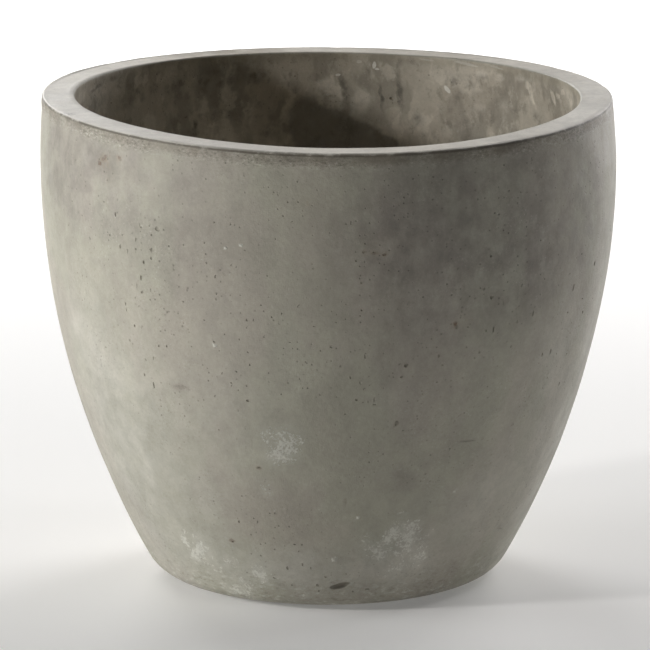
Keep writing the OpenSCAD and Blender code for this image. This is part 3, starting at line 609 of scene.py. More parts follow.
# ------------------------------------------------------------------ mesh of the casting
NT = 352
TH0 = -math.pi
rows = []
for i, g in enumerate(SEGMENTS):
    n = g[-1]
    rows += [STARTS[i] + (STARTS[i + 1] - STARTS[i]) * j / n for j in range(n)]
ROWS = np.array(rows)
NR = len(ROWS)
ROW_EXT = np.concatenate([ROWS, [TOTAL]])
DTH = 2 * math.pi / NT

uu, vv = np.meshgrid(np.arange(NT), np.arange(NR))
grid_th = (TH0 + uu * DTH).ravel()
grid_s = ROWS[vv].ravel()
verts = [surface(grid_th, grid_s)]
vmask = {k: [v] for k, v in masks(grid_th, grid_s).items()}
vmask["m_painted_pit_shade"] = [np.zeros(len(grid_th))]
n_verts = NT * NR
taken = np.zeros((NR, NT), bool)
patch_faces = []      # (vertex list, column list, row-distance list, region row)
sharp_codes = []


def s_of_row(v):
    """Profile distance at fractional row v."""
    i = np.clip(np.floor(v).astype(int), 0, NR - 1)
    return ROW_EXT[i] + (ROW_EXT[i + 1] - ROW_EXT[i]) * (v - i)


def add_patch(th, s, width, height, depth, turn=0.0, rough=0.12, rng=None, mark=None, points=None, pit=1.0):
    """Cuts a hole's mouth into the grid at (th, s) and sinks a small basin in it. Negative depth makes a raised blob."""
    global n_verts
    rng = rng or np.random.RandomState(int(abs(th) * 1e4 + s * 10) % 2 ** 31)
    u = ((th - TH0) / DTH) % NT
    i = int(np.searchsorted(ROW_EXT, s, side="right") - 1)
    v = i + (s - ROW_EXT[i]) / (ROW_EXT[i + 1] - ROW_EXT[i])
    r = float(profile(np.array([s]))[0][0])
    cu, cv = r * DTH, ROW_EXT[i + 1] - ROW_EXT[i]
    t = math.radians(turn)
    ext_x = math.hypot(width / 2 * math.cos(t), height / 2 * math.sin(t))
    ext_y = math.hypot(width / 2 * math.sin(t), height / 2 * math.cos(t))
    hu, hv = ext_x / cu * (1 + rough), ext_y / cv * (1 + rough)
    nu, nv = max(1, math.ceil(2 * hu + 0.24)), max(1, math.ceil(2 * hv + 0.24))

    def place(x, h, n):
        lo = round(x - n / 2)
        slack = max(0.0, n / 2 - h - 0.12)
        return lo, lo + n / 2 + max(-slack, min(slack, x - lo - n / 2))

    lo_u, pu = place(u, hu, nu)
    lo_v, pv = place(v, hv, nv)
    for du, dv in ((0, 0), (1, 0), (-1, 0), (0, 1), (0, -1), (1, 1), (-1, -1), (1, -1), (-1, 1)):
        a, b = lo_u + du, lo_v + dv
        if b < 1 or b + nv > NR - 1:
            continue
        cells = [(b + y, (a + x) % NT) for y in range(nv) for x in range(nu)]
        if not any(taken[c] for c in cells) and KINDS_OF_ROW[b] == KINDS_OF_ROW[b + nv - 1]:
            break
    else:
        return False
    for c in cells:
        taken[c] = True
    pu, pv = pu + du, pv + dv
    outer_uv = ([(a + x, b) for x in range(nu)] + [(a + nu, b + y) for y in range(nv)]
                + [(a + nu - x, b + nv) for x in range(nu)] + [(a, b + nv - y) for y in range(nv)])
    outer_id = [(vy % NR) * NT + (ux % NT) for ux, vy in outer_uv]
    K = points or int(max(8, min(22, round(math.pi * (width + height) / 2 / 0.95))))
    ph = rng.uniform(0, 2 * math.pi, 3)
    rings = []
    levels = ((1.0, 0.0), (0.84, 0.5), (0.5, 0.92)) if depth > 0 else ((1.0, 0.0), (0.8, 0.62), (0.45, 0.93))
    shift = rng.uniform(-0.12, 0.12, 2)
    for scale, dep in levels:
        uv = []
        for q in range(K):
            f = 2 * math.pi * (q + 0.15 * math.sin(ph[2] + q * 2.4)) / K
            w = 1 + rough * (0.6 * math.sin(2 * f + ph[0]) + 0.5 * math.sin(3 * f + ph[1]) + 0.35 * math.sin(5 * f + ph[2]))
            x, y = width / 2 * scale * w * math.cos(f), height / 2 * scale * w * math.sin(f)
            x, y = x * math.cos(t) - y * math.sin(t), x * math.sin(t) + y * math.cos(t)
            uv.append((pu + x / cu + shift[0] * (1 - scale) * width / cu, pv + y / cv + shift[1] * (1 - scale) * height / cv))
        rings.append((uv, dep))
    rings.append(([(pu + shift[0] * width / cu * 0.5, pv + shift[1] * height / cv * 0.5)], 1.0))
    ids, base = [], n_verts
    all_uv, all_dep, all_pit = [], [], []
    for j, (uv, dep) in enumerate(rings):
        ids.append(list(range(base, base + len(uv))))
        base += len(uv)
        all_uv += uv
        all_dep += [dep * depth] * len(uv)
        # the rings of a hole carry painted shade, deepest at its bottom
        all_pit += [(0.1, 0.75, 1.0, 1.0)[j] * pit if depth > 0 else 0.0] * len(uv)
    all_uv, all_dep = np.array(all_uv), np.array(all_dep)
    pth, ps = TH0 + all_uv[:, 0] * DTH, s_of_row(all_uv[:, 1])
    P = surface(pth, ps)
    _, _, nr, nz, _ = profile(ps)
    N = np.stack([nr * np.cos(pth), nr * np.sin(pth), nz], 1)
    verts.append(P - N * all_dep[:, None] * 0.001)
    mm = masks(pth, ps)
    if mark:
        for key, val in mark.items():
            mm[key] = np.maximum(mm[key], val)
    for key, val in mm.items():
        vmask[key].append(val)
    vmask["m_painted_pit_shade"].append(np.array(all_pit))
    n_verts = base
    uv_of = dict(zip(sum(ids, []), [tuple(x) for x in all_uv]))

    def face(vs, corners):
        patch_faces.append((vs, [c[0] for c in corners], [float(s_of_row(np.array([c[1]]))[0]) for c in corners], b))

    # ring between the block's border and the mouth: walk both loops by angle
    def ang(p):
        return math.atan2((p[1] - pv) * cv, (p[0] - pu) * cu)

    A, B = outer_id, ids[0]
    Au, Bu = outer_uv, [tuple(x) for x in rings[0][0]]
    ia = min(range(len(A)), key=lambda q: ang(Au[q]))
    ib = min(range(len(B)), key=lambda q: ang(Bu[q]))
    A, Au = A[ia:] + A[:ia], Au[ia:] + Au[:ia]
    B, Bu = B[ib:] + B[:ib], Bu[ib:] + Bu[:ib]
    ta = [ang(p) for p in Au] + [ang(Au[0]) + 2 * math.pi]
    tb = [ang(p) for p in Bu] + [ang(Bu[0]) + 2 * math.pi]
    x = y = 0
    while x < len(A) or y < len(B):
        if y >= len(B) or (x < len(A) and ta[x + 1] <= tb[y + 1]):
            x1 = (x + 1) % len(A)
            face([A[x % len(A)], A[x1], B[y % len(B)]], [Au[x % len(A)], Au[x1], Bu[y % len(B)]])
            x += 1
        else:
            y1 = (y + 1) % len(B)
            face([A[x % len(A)], B[y1], B[y % len(B)]], [Au[x % len(A)], Bu[y1], Bu[y % len(B)]])
            y += 1
    for o, n in ((0, 1), (1, 2)):
        for q in range(K):
            w = (q + 1) % K
            vs = [ids[o][q], ids[o][w], ids[n][w], ids[n][q]]
            face(vs, [uv_of[e] for e in vs])
    for q in range(K):
        vs = [ids[2][q], ids[2][(q + 1) % K], ids[3][0]]
        face(vs, [uv_of[e] for e in vs])
    if depth > 0:
        for q in range(K):
            e, f = sorted((ids[0][q], ids[0][(q + 1) % K]))
            sharp_codes.append((e, f))
    return True


KINDS_OF_ROW = [KINDS[k] for k in profile(ROWS + 1e-6)[4]]

rng = np.random.RandomState(5)
made = 0
# the long lens-shaped void low on the front, and grooves of two scratches
add_patch(math.radians(-86.2), s_outer(23.5), 17.0, 7.4, 2.3, turn=17, rough=0.12, rng=rng, points=26, pit=1.6)
add_patch(math.radians(-57.0), s_outer(157.7), 18.0, 0.8, 0.22, turn=-3, rough=0.16, rng=rng, points=22, pit=0.5)
add_patch(math.radians(-34.3), s_outer(59.8), 16.0, 0.9, 0.22, turn=-14, rough=0.16, rng=rng, points=22, pit=0.5)
for a, z, w, h in sorted(PORES, key=lambda p: -p[2] * p[3]):
    w, h = w * 0.84, h * 0.86
    made += add_patch(math.radians(a), s_outer(z), w, h, rng.uniform(0.16, 0.40) * min(w, h), turn=rng.uniform(-10, 10), rough=0.2, rng=rng, pit=rng.uniform(0.35, 1.0))
# drops of lime that stand a little proud
for a, z, w, h in ((-82.6, 92.7, 1.9, 1.9), (-88.4, 52.0, 3.4, 3.0), (-57.3, 110.6, 1.9, 2.0), (-113.5, 249.0, 2.1, 1.7), (-106.5, 339.6, 1.9, 1.6), (-109.5, 337.0, 1.7, 1.5)):
    add_patch(math.radians(a), s_outer(z), w, h, -0.28, rough=0.2, rng=rng, mark={"m_bloom": 1.0})


def scatter(n, th_range, z_range, where, clusters, small=1.2, big=3.4, tall=1.5):
    """Air holes in loose clusters, most of them small."""
    got = 0
    cent = [(rng.uniform(*th_range), rng.uniform(*z_range)) for _ in range(clusters)]
    for _ in range(n * 3):
        if got >= n:
            return
        if rng.rand() < 0.72:
            c = cent[rng.randint(clusters)]
            th, z = c[0] + rng.normal() * 0.10, c[1] + rng.normal() * 30
        else:
            th, z = rng.uniform(*th_range), rng.uniform(*z_range)
        if not (th_range[0] < th < th_range[1] and z_range[0] < z < z_range[1]):
            continue
        w = small + (big - small) * rng.rand() ** 2.2
        h = w * rng.uniform(0.8, tall)
        s = s_outer(z) if where == "out" else s_at("wall_in" if z < BELLY else "shoulder_in", z)
        got += add_patch(th, s, w, h, rng.uniform(0.16, 0.40) * min(w, h), turn=rng.uniform(-25, 25), rough=0.2, rng=rng, pit=rng.uniform(0.35, 1.0))


scatter(84, (-0.22, math.pi + 0.3), (12, 408), "out", 12)
scatter(22, (0.35, 2.85), (250, 412), "in", 6, 1.3, 4.0, 1.3)
scatter(10, (-math.pi, 0.0), (200, 400), "in", 3, 1.3, 3.6, 1.3)

verts = np.concatenate(verts)
vmask = {k: np.concatenate(v) for k, v in vmask.items()}

keep = ~taken.ravel()
i = vv.ravel()[keep]
j = uu.ravel()[keep]
i1, j1 = (i + 1) % NR, (j + 1) % NT
quads = np.stack([i * NT + j, i * NT + j1, i1 * NT + j1, i1 * NT + j], 1)
q_u = np.stack([j, j + 1, j + 1, j], 1).astype(float)
q_s = np.stack([ROW_EXT[i], ROW_EXT[i], ROW_EXT[i + 1], ROW_EXT[i + 1]], 1)
sizes = [np.full(len(quads), 4)] + [np.array([len(f[0]) for f in patch_faces])]
loop_v = np.concatenate([quads.ravel(), np.concatenate([f[0] for f in patch_faces])]).astype(np.int32)
loop_u = np.concatenate([q_u.ravel(), np.concatenate([f[1] for f in patch_faces])])
loop_s = np.concatenate([q_s.ravel(), np.concatenate([f[2] for f in patch_faces])])
sizes = np.concatenate(sizes).astype(np.int32)
face_row = np.concatenate([i, np.array([f[3] for f in patch_faces])])
loop_row = np.repeat(face_row, sizes)
starts = np.concatenate([[0], np.cumsum(sizes)[:-1]]).astype(np.int32)

me = bpy.data.meshes.new("planter_casting")
me.vertices.add(len(verts))
me.vertices.foreach_set("co", verts.astype(np.float32).ravel())
me.loops.add(len(loop_v))
me.loops.foreach_set("vertex_index", loop_v)
me.polygons.add(len(sizes))
me.polygons.foreach_set("loop_start", starts)
me.polygons.foreach_set("loop_total", sizes)
me.polygons.foreach_set("use_smooth", np.ones(len(sizes), bool))
me.update(calc_edges=True)
ev = np.zeros(len(me.edges) * 2, np.int32)
me.edges.foreach_get("vertices", ev)
ev = np.sort(ev.reshape(-1, 2), 1).astype(np.int64)
codes = ev[:, 0] * len(verts) + ev[:, 1]
sharp = np.isin(codes, [a * len(verts) + b for a, b in sharp_codes])
att = me.attributes.new("sharp_edge", "BOOLEAN", "EDGE")
att.data.foreach_set("value", sharp)
for name, val in vmask.items():
    att = me.attributes.new(name, "FLOAT", "POINT")
    att.data.foreach_set("value", val.astype(np.float32))

# ---- texture layout: strips of the wall, in pixels of a 1024 sheet
HALF_T = NT // 2


def lay(u, s, row):
    kind = KINDS_OF_ROW[row]
    span = lambda a, b: (STARTS[KINDS.index(a)], STARTS[KINDS.index(b) + 1])
    if kind in ("foot", "wall", "shoulder"):
        a, b = span("foot", "shoulder")
        back = u.mean() >= HALF_T
        x = (u - (HALF_T if back else 0)) / HALF_T
        y = (s - a) / (b - a)
        return 4 + 780 * x, (4 if not back else 452) + 440 * y
    if kind in ("edge", "rim", "edge_in"):
        a, b = span("edge", "edge_in")
        back = u.mean() >= HALF_T
        x = (u - (HALF_T if back else 0)) / HALF_T
        return 4 + 780 * x, (900 if not back else 940) + 32 * (s - a) / (b - a)
    if kind in ("shoulder_in", "wall_in", "corner"):
        a, b = span("shoulder_in", "corner")
        return 792 + 228 * (s - a) / (b - a), 4 + 880 * u / NT
    f = u / NT * 2 * math.pi
    if kind == "under":
        r = profile(np.clip(s, STARTS[0], STARTS[1] - 1e-6))[0]
        return 850 + 58 * r / ce[0] * np.cos(f), 954 + 58 * r / ce[0] * np.sin(f)
    if kind == "floor":
        k = KINDS.index("floor")
        r = profile(np.clip(s, STARTS[k], STARTS[k + 1] - 1e-6))[0]
        return 965 + 50 * r / ci[0] * np.cos(f), 954 + 50 * r / ci[0] * np.sin(f)
    a, b = span("hole", "bevel")
    return 4 + 400 * u / NT, 980 + 36 * (s - a) / (b - a)


uvm = np.zeros((len(loop_v), 2))
for row in np.unique(face_row):
    for part in (0, 1):
        m = loop_row == row
        if KINDS_OF_ROW[row] in ("foot", "wall", "shoulder", "edge", "rim", "edge_in"):
            mean_u = np.repeat(np.add.reduceat(loop_u, starts) / sizes, sizes)
            m &= (mean_u >= HALF_T) if part else (mean_u < HALF_T)
        elif part:
            continue
        if m.any():
            x, y = lay(loop_u[m], loop_s[m], row)
            uvm[m, 0], uvm[m, 1] = x / 1024, y / 1024
layer = me.uv_layers.new(name="OFBake")
layer.data.foreach_set("uv", uvm.astype(np.float32).ravel())

me.validate(verbose=False)
casting = bpy.data.objects.new("planter_casting", me)
scene.collection.objects.link(casting)
tris = int((sizes - 2).sum())
print("casting: %d vertices, %d triangles, %d holes" % (len(verts), tris, len(sharp_codes)))

# ------------------------------------------------------------------ shader helper
class Graph:
    """Short names for building a node tree."""

    def __init__(self, name):
        self.mat = bpy.data.materials.new(name)
        self.mat.use_nodes = True
        self.t = self.mat.node_tree
        self.t.nodes.clear()
        self.out = self.t.nodes.new("ShaderNodeOutputMaterial")
        self.bsdf = self.t.nodes.new("ShaderNodeBsdfPrincipled")
        self.t.links.new(self.bsdf.outputs[0], self.out.inputs[0])
        self.coord = self.t.nodes.new("ShaderNodeTexCoord").outputs["Object"]

    def link(self, a, b):
        if hasattr(a, "links"):
            self.t.links.new(a, b)
        else:
            b.default_value = a

    def attr(self, name):
        n = self.t.nodes.new("ShaderNodeAttribute")
        n.attribute_name = name
        return n.outputs["Fac"]

    def math(self, op, a, b=0.0, c=None, clamp=False):
        n = self.t.nodes.new("ShaderNodeMath")
        n.operation = op
        n.use_clamp = clamp
        self.link(a, n.inputs[0])
        if len(n.inputs) > 1:
            self.link(b, n.inputs[1])
        if c is not None:
            self.link(c, n.inputs[2])
        return n.outputs[0]

    def add(self, a, b): return self.math("ADD", a, b)
    def mul(self, a, b): return self.math("MULTIPLY", a, b)
    def sub(self, a, b): return self.math("SUBTRACT", a, b)

    def ramp(self, x, lo, hi, a=0.0, b=1.0, smoothstep=True):
        n = self.t.nodes.new("ShaderNodeMapRange")
        n.interpolation_type = "SMOOTHSTEP" if smoothstep else "LINEAR"
        n.clamp = True
        self.link(x, n.inputs["Value"])
        n.inputs["From Min"].default_value = lo
        n.inputs["From Max"].default_value = hi
        n.inputs["To Min"].default_value = a
        n.inputs["To Max"].default_value = b
        return n.outputs[0]

    def scaled(self, sx, sy, sz, shift=(0, 0, 0), source=None):
        n = self.t.nodes.new("ShaderNodeMapping")
        self.link(source or self.coord, n.inputs["Vector"])
        n.inputs["Scale"].default_value = (sx, sy, sz)
        n.inputs["Location"].default_value = shift
        return n.outputs[0]

    def noise(self, scale, detail=3.0, rough=0.55, vec=None, distort=0.0, lac=2.0):
        n = self.t.nodes.new("ShaderNodeTexNoise")
        self.link(vec or self.coord, n.inputs["Vector"])
        n.inputs["Scale"].default_value = scale
        n.inputs["Detail"].default_value = detail
        n.inputs["Roughness"].default_value = rough
        n.inputs["Lacunarity"].default_value = lac
        n.inputs["Distortion"].default_value = distort
        return n.outputs["Fac"]

    def cells(self, scale, vec=None, feature="F1", rand=1.0):
        n = self.t.nodes.new("ShaderNodeTexVoronoi")
        n.feature = feature
        self.link(vec or self.coord, n.inputs["Vector"])
        n.inputs["Scale"].default_value = scale
        n.inputs["Randomness"].default_value = rand
        return n.outputs["Distance"], n.outputs["Color"] if feature == "F1" else None

    def first(self, colour):
        n = self.t.nodes.new("ShaderNodeSeparateColor")
        self.link(colour, n.inputs[0])
        return n.outputs[0], n.outputs[1]

    def mix(self, f, a, b, mode="MIX"):
        n = self.t.nodes.new("ShaderNodeMix")
        n.data_type = "RGBA"
        n.blend_type = mode
        n.clamp_factor = True
        self.link(f, n.inputs["Factor"])
        for v, k in ((a, 6), (b, 7)):
            if hasattr(v, "links"):
                self.t.links.new(v, n.inputs[k])
            else:
                n.inputs[k].default_value = (*v, 1.0)
        return n.outputs[2]

    def scale_colour(self, col, f):
        """col times the number f, a socket."""
        n = self.t.nodes.new("ShaderNodeVectorMath")
        n.operation = "SCALE"
        self.link(col, n.inputs[0])
        self.link(f, n.inputs["Scale"])
        return n.outputs[0]

    def warped(self, scale, amount, detail=3.0):
        """The object coordinate pushed about by noise, by up to half of amount either way."""
        n = self.t.nodes.new("ShaderNodeTexNoise")
        self.link(self.coord, n.inputs["Vector"])
        n.inputs["Scale"].default_value = scale
        n.inputs["Detail"].default_value = detail
        v = self.t.nodes.new("ShaderNodeVectorMath")
        v.operation = "MULTIPLY_ADD"
        self.link(n.outputs["Color"], v.inputs[0])
        v.inputs[1].default_value = (amount,) * 3
        self.link(self.coord, v.inputs[2])
        w = self.t.nodes.new("ShaderNodeVectorMath")
        w.operation = "SUBTRACT"
        self.link(v.outputs[0], w.inputs[0])
        w.inputs[1].default_value = (amount * 0.5,) * 3
        return w.outputs[0]

    def spots(self, marks, vec, core=0.45):
        """The strongest at each point of a list of elliptical marks from FINE."""
        best = None
        for where, kind, a, h, hw, hh, turn, amount in marks:
            s = (s_at("shoulder_in", h) if h > BELLY else s_at("wall_in", h)) if where == "in" else s_outer(h)
            P = surface([math.radians(a)], [s])[0]
            ca, sa = math.cos(math.radians(a)), math.sin(math.radians(a))
            ct, st = math.cos(math.radians(turn)), math.sin(math.radians(turn))
            across, up = Vector((-sa, ca, 0)), Vector((0, 0, 1))
            m = Matrix((across * ct + up * st, Vector((-ca, -sa, 0)), up * ct - across * st)).transposed()
            n = self.t.nodes.new("ShaderNodeMapping")
            n.vector_type = "TEXTURE"
            self.link(vec, n.inputs["Vector"])
            n.inputs["Location"].default_value = P
            n.inputs["Rotation"].default_value = m.to_euler("XYZ")
            n.inputs["Scale"].default_value = (hw * 0.00125, 0.014, hh * 0.00125)
            d = self.t.nodes.new("ShaderNodeVectorMath")
            d.operation = "LENGTH"
            self.link(n.outputs[0], d.inputs[0])
            one = self.ramp(d.outputs["Value"], core, 1.0, amount, 0.0)
            best = one if best is None else self.math("MAXIMUM", best, one)
        return best

    def bump(self, h, dist, strength=1.0, normal=None):
        n = self.t.nodes.new("ShaderNodeBump")
        n.inputs["Distance"].default_value = dist
        n.inputs["Strength"].default_value = strength
        self.link(h, n.inputs["Height"])
        if normal is not None:
            self.link(normal, n.inputs["Normal"])
        return n.outputs[0]


# ------------------------------------------------------------------ concrete
def concrete():
    g = Graph("cast_concrete")
    m_in, m_rim, m_out = g.attr("m_in"), g.attr("m_rim"), g.attr("m_out")
    m_bloom, m_rust, m_dark, m_pale = g.attr("m_bloom"), g.attr("m_rust"), g.attr("m_dark"), g.attr("m_pale")
    m_band, m_painted_pit_shade = g.attr("m_band"), g.attr("m_painted_pit_shade")

    tall = g.scaled(1, 1, 0.42)
    cloud = g.noise(7.5, 4, 0.5, tall)
    cloud2 = g.noise(20, 5, 0.6, g.scaled(1, 1, 0.55, (3.1, 0.4, 1.7)), distort=0.25)
    patchy = g.noise(34, 6, 0.62, g.scaled(1, 1, 0.8, (1.3, 6.4, 0.7)), distort=0.35)
    blotch = g.noise(85, 5, 0.62, distort=0.2)
    grain = g.noise(330, 3, 0.65)
    dust = g.noise(1300, 2, 0.7)
    tint = g.noise(13, 5, 0.6, g.scaled(1, 1, 0.5, (9.3, 5.1, 2.2)))

    # tone: everything multiplies a mid grey
    tone = g.ramp(cloud, 0.32, 0.68, 0.93, 1.07)
    tone = g.mul(tone, g.ramp(cloud2, 0.38, 0.62, 0.968, 1.032))
    tone = g.mul(tone, g.ramp(patchy, 0.40, 0.60, 0.962, 1.038))
    tone = g.mul(tone, g.ramp(blotch, 0.36, 0.64, 0.966, 1.034))
    tone = g.mul(tone, g.ramp(grain, 0.3, 0.7, 0.965, 1.035))
    tone = g.mul(tone, g.ramp(dust, 0.25, 0.75, 0.965, 1.035))

    base = g.mix(g.ramp(tint, 0.40, 0.60), (0.337, 0.326, 0.262), (0.350, 0.326, 0.272))
    # the rim's pale colour is partly painted light, standing in for light from above
    rim_c = g.mix(g.ramp(g.noise(45, 5, 0.65), 0.35, 0.65), (0.68, 0.635, 0.55), (0.73, 0.69, 0.61))
    rim_c = g.mix(g.mul(g.attr("m_rub_and_painted_light"), g.ramp(g.noise(26, 4, 0.55), 0.3, 0.6, 0.65, 1.0)), rim_c, (0.89, 0.86, 0.79))
    rim_c = g.mix(g.mul(g.attr("m_brown"), g.ramp(g.noise(30, 5, 0.6, g.scaled(1, 1, 1, (3, 1, 4))), 0.35, 0.6, 0.35, 1.0)), rim_c, (0.40, 0.35, 0.275))
    col = g.mix(m_rim, base, rim_c)
    in_c = g.mix(g.ramp(g.noise(14, 4, 0.6, g.scaled(1, 1, 0.6, (2, 7, 4))), 0.40, 0.60), (0.405, 0.362, 0.292), (0.468, 0.427, 0.350))
    smudge = g.warped(60, 0.016, 4)
    in_c = g.mix(g.ramp(g.noise(30, 3, 0.6, g.scaled(1, 1, 0.45, (8, 3, 6), smudge)), 0.49, 0.60, 0, 0.50), in_c, (0.200, 0.184, 0.145))
    in_c = g.mix(g.ramp(g.noise(70, 5, 0.7, g.scaled(1, 1, 0.8, (8, 3, 6))), 0.51, 0.66, 0, 0.50), in_c, (0.190, 0.173, 0.136))
    in_c = g.mix(g.ramp(g.noise(42, 4, 0.6, g.scaled(1, 1, 0.6, (1, 9, 2), smudge)), 0.52, 0.64, 0, 0.55), in_c, (0.64, 0.59, 0.495))
    ragged = g.mul(g.sub(g.noise(85, 5, 0.65, distort=0.4), 0.5), 0.9)
    in_c = g.mix(g.ramp(g.add(g.attr("m_in_pale"), g.mul(ragged, g.ramp(g.attr("m_in_pale"), 0.05, 0.3))), 0.15, 0.75, 0, 0.7), in_c, (0.62, 0.575, 0.49))
    in_c = g.mix(g.ramp(g.add(g.attr("m_in_dark"), g.mul(ragged, g.ramp(g.attr("m_in_dark"), 0.05, 0.3))), 0.12, 0.80, 0, 0.85), in_c, (0.135, 0.126, 0.106))
    worn = g.warped(130, 0.0075, 5)
    torn = g.noise(220, 4, 0.65, g.scaled(1, 1, 0.7, (4, 4, 1)))
    fine_pale = g.spots([m for m in FINE if m[:2] == ("in", "pale")], worn)
    fine_dark = g.spots([m for m in FINE if m[:2] == ("in", "dark")], worn, 0.25)
    white_marks_and_highlight = g.spots([m for m in FINE if m[:2] == ("in", "white")], g.warped(400, 0.0014, 3), 0.7)
    in_c = g.mix(g.mul(fine_pale, g.ramp(torn, 0.38, 0.58, 0.45, 1.1)), in_c, (0.68, 0.625, 0.52))
    in_c = g.mix(g.mul(fine_dark, g.ramp(torn, 0.42, 0.62, 1.0, 0.5)), in_c, (0.125, 0.114, 0.092))
    # painted shadow: the core of the left rim's shadow on the far inner wall is darkened into the colour
    damp = g.ramp(g.add(g.attr("m_in_damp"), g.mul(g.sub(g.noise(48, 4, 0.6, distort=0.3), 0.5), 0.5)), 0.30, 0.58)
    in_c = g.mix(g.mul(damp, 0.52), in_c, (0.110, 0.104, 0.092))
    in_c = g.mix(g.mul(white_marks_and_highlight, 0.9), in_c, (0.78, 0.76, 0.69))
    # the worn inner edge is dull and brownish
    in_c = g.mix(g.mul(g.ramp(g.attr("m_h"), 409, 417), 0.45), in_c, (0.30, 0.27, 0.20))
    col = g.mix(m_in, col, in_c)

    # pale and dark clouds with broken edges: mottling, and on the broad patches painted light and painted shade
    brk = g.noise(48, 5, 0.62)
    pale = g.mul(m_pale, g.ramp(brk, 0.3, 0.7, 0.55, 1.35))
    dark = g.mul(m_dark, g.ramp(g.noise(60, 5, 0.6, g.scaled(1, 1, 0.8, (4, 4, 9))), 0.3, 0.7, 0.45, 1.5))
    col = g.mix(g.mul(pale, 0.55), col, (0.525, 0.515, 0.455))
    col = g.mix(g.mul(dark, 0.60), col, (0.168, 0.150, 0.130))
    band = g.mul(m_band, g.ramp(g.noise(55, 5, 0.7, g.scaled(1, 1, 1.6, (1, 2, 3))), 0.36, 0.62, 0.15, 1.0))
    col = g.mix(g.mul(band, 0.5), col, (0.17, 0.155, 0.132))

    # the rubbed band just under the rim: crumbs of pale paste, dark grit, and a broken dark line on the edge itself
    m_h = g.attr("m_h")
    near_top = g.mul(g.mul(g.ramp(m_h, 404, 413), g.ramp(m_h, 417.5, 418.8, 1, 0)), m_out)
    part = g.ramp(g.noise(13, 3, 0.6, g.scaled(1, 1, 1, (2.5, 8, 1))), 0.40, 0.60, 0.45, 1.0)
    grit = g.noise(300, 5, 0.72, g.scaled(1, 1, 1.8, (0, 3, 1)))
    col = g.mix(g.mul(g.mul(near_top, part), g.ramp(grit, 0.38, 0.48, 0.85, 0)), col, (0.13, 0.114, 0.084))
    col = g.mix(g.mul(g.mul(near_top, part), g.ramp(grit, 0.55, 0.64, 0, 0.7)), col, (0.58, 0.56, 0.48))
    broken = g.noise(60, 5, 0.7, g.scaled(1, 1, 1, (6, 6, 6)))
    lip = g.mul(g.mul(g.mul(g.ramp(m_h, 417.2, 418.2), g.ramp(m_h, 419.2, 419.7, 1, 0)), m_out), g.ramp(broken, 0.36, 0.50, 0.25, 1.0))
    col = g.mix(g.mul(lip, 0.80), col, (0.105, 0.092, 0.068))
    # rub is low where the rim's sides carry their pale rubbing and painted light
    rub = g.ramp(g.attr("m_rub_and_painted_light"), 0.15, 0.75, 1, 0)
    worn_edge = g.mul(g.mul(g.mul(g.ramp(g.attr("m_r"), 240.0, 243.2), g.ramp(m_h, 418.8, 419.5)), rub), g.ramp(broken, 0.34, 0.52, 0.35, 1.0))
    col = g.mix(g.mul(worn_edge, 0.72), col, (0.185, 0.165, 0.128))
    soil = g.mul(g.mul(g.mul(g.ramp(m_h, 408, 415), g.ramp(m_h, 418, 419.3, 1, 0)), m_out), g.ramp(g.noise(28, 5, 0.7, g.scaled(1, 1, 1, (1, 2, 6))), 0.34, 0.56))
    col = g.mix(g.mul(soil, g.add(0.30, g.mul(m_band, 0.55))), col, (0.150, 0.128, 0.094))

    # scum, grit and lime along the foot
    foot = g.mul(g.mul(g.ramp(m_h, 8, 52, 1, 0), m_out), g.ramp(g.noise(24, 5, 0.65, g.scaled(1, 1, 1, (9, 2, 6))), 0.36, 0.56, 0.3, 1))
    crust_n = g.noise(130, 6, 0.72, g.scaled(1, 1, 2.0, (2, 3, 1)))
    col = g.mix(g.mul(foot, g.ramp(crust_n, 0.36, 0.47, 0.52, 0)), col, (0.160, 0.150, 0.116))
    col = g.mix(g.mul(foot, g.ramp(crust_n, 0.53, 0.62, 0, 0.66)), col, (0.56, 0.57, 0.51))

    # rust-brown seeping
    rn = g.noise(260, 5, 0.7)
    rust = g.ramp(g.add(m_rust, g.mul(g.mul(g.sub(rn, 0.5), 2.6), g.ramp(m_rust, 0.02, 0.25))), 0.35, 1.15, 0, 1)
    rust = g.add(g.mul(rust, 0.7), g.mul(m_rust, 0.3))
    col = g.mix(g.mul(rust, 0.5), col, (0.250, 0.180, 0.108))
    nib = g.noise(420, 4, 0.65)
    eaten = g.warped(330, 0.0038, 4)
    core = g.mul(g.spots([m for m in FINE if m[:2] == ("out", "rust")], eaten), g.ramp(nib, 0.36, 0.56, 1.1, 0.55))
    col = g.mix(g.mul(core, 0.85), col, (0.120, 0.072, 0.042))
    dirt = g.mul(g.spots([m for m in FINE if m[:2] == ("out", "grit")], eaten), g.ramp(nib, 0.40, 0.58, 1.1, 0.35))
    col = g.mix(g.mul(dirt, 0.8), col, (0.150, 0.132, 0.100))

    # lime bloom: a thin veil with a lace of crust in it
    fine = g.noise(430, 4, 0.72)
    coarse = g.noise(150, 4, 0.65, g.scaled(1, 1, 1, (0.3, 0.2, 0.7)))
    here = g.ramp(m_bloom, 0.03, 0.3)
    crust = g.ramp(g.add(m_bloom, g.mul(here, g.add(g.mul(g.sub(fine, 0.5), 3.4), g.mul(g.sub(coarse, 0.5), 2.6)))), 0.46, 0.95)
    veil = g.mul(m_bloom, g.ramp(g.noise(80, 4, 0.6), 0.35, 0.65, 0.15, 0.55))
    lime = g.math("MAXIMUM", crust, veil)
    col = g.mix(g.mul(lime, 0.72), col, (0.64, 0.64, 0.575))

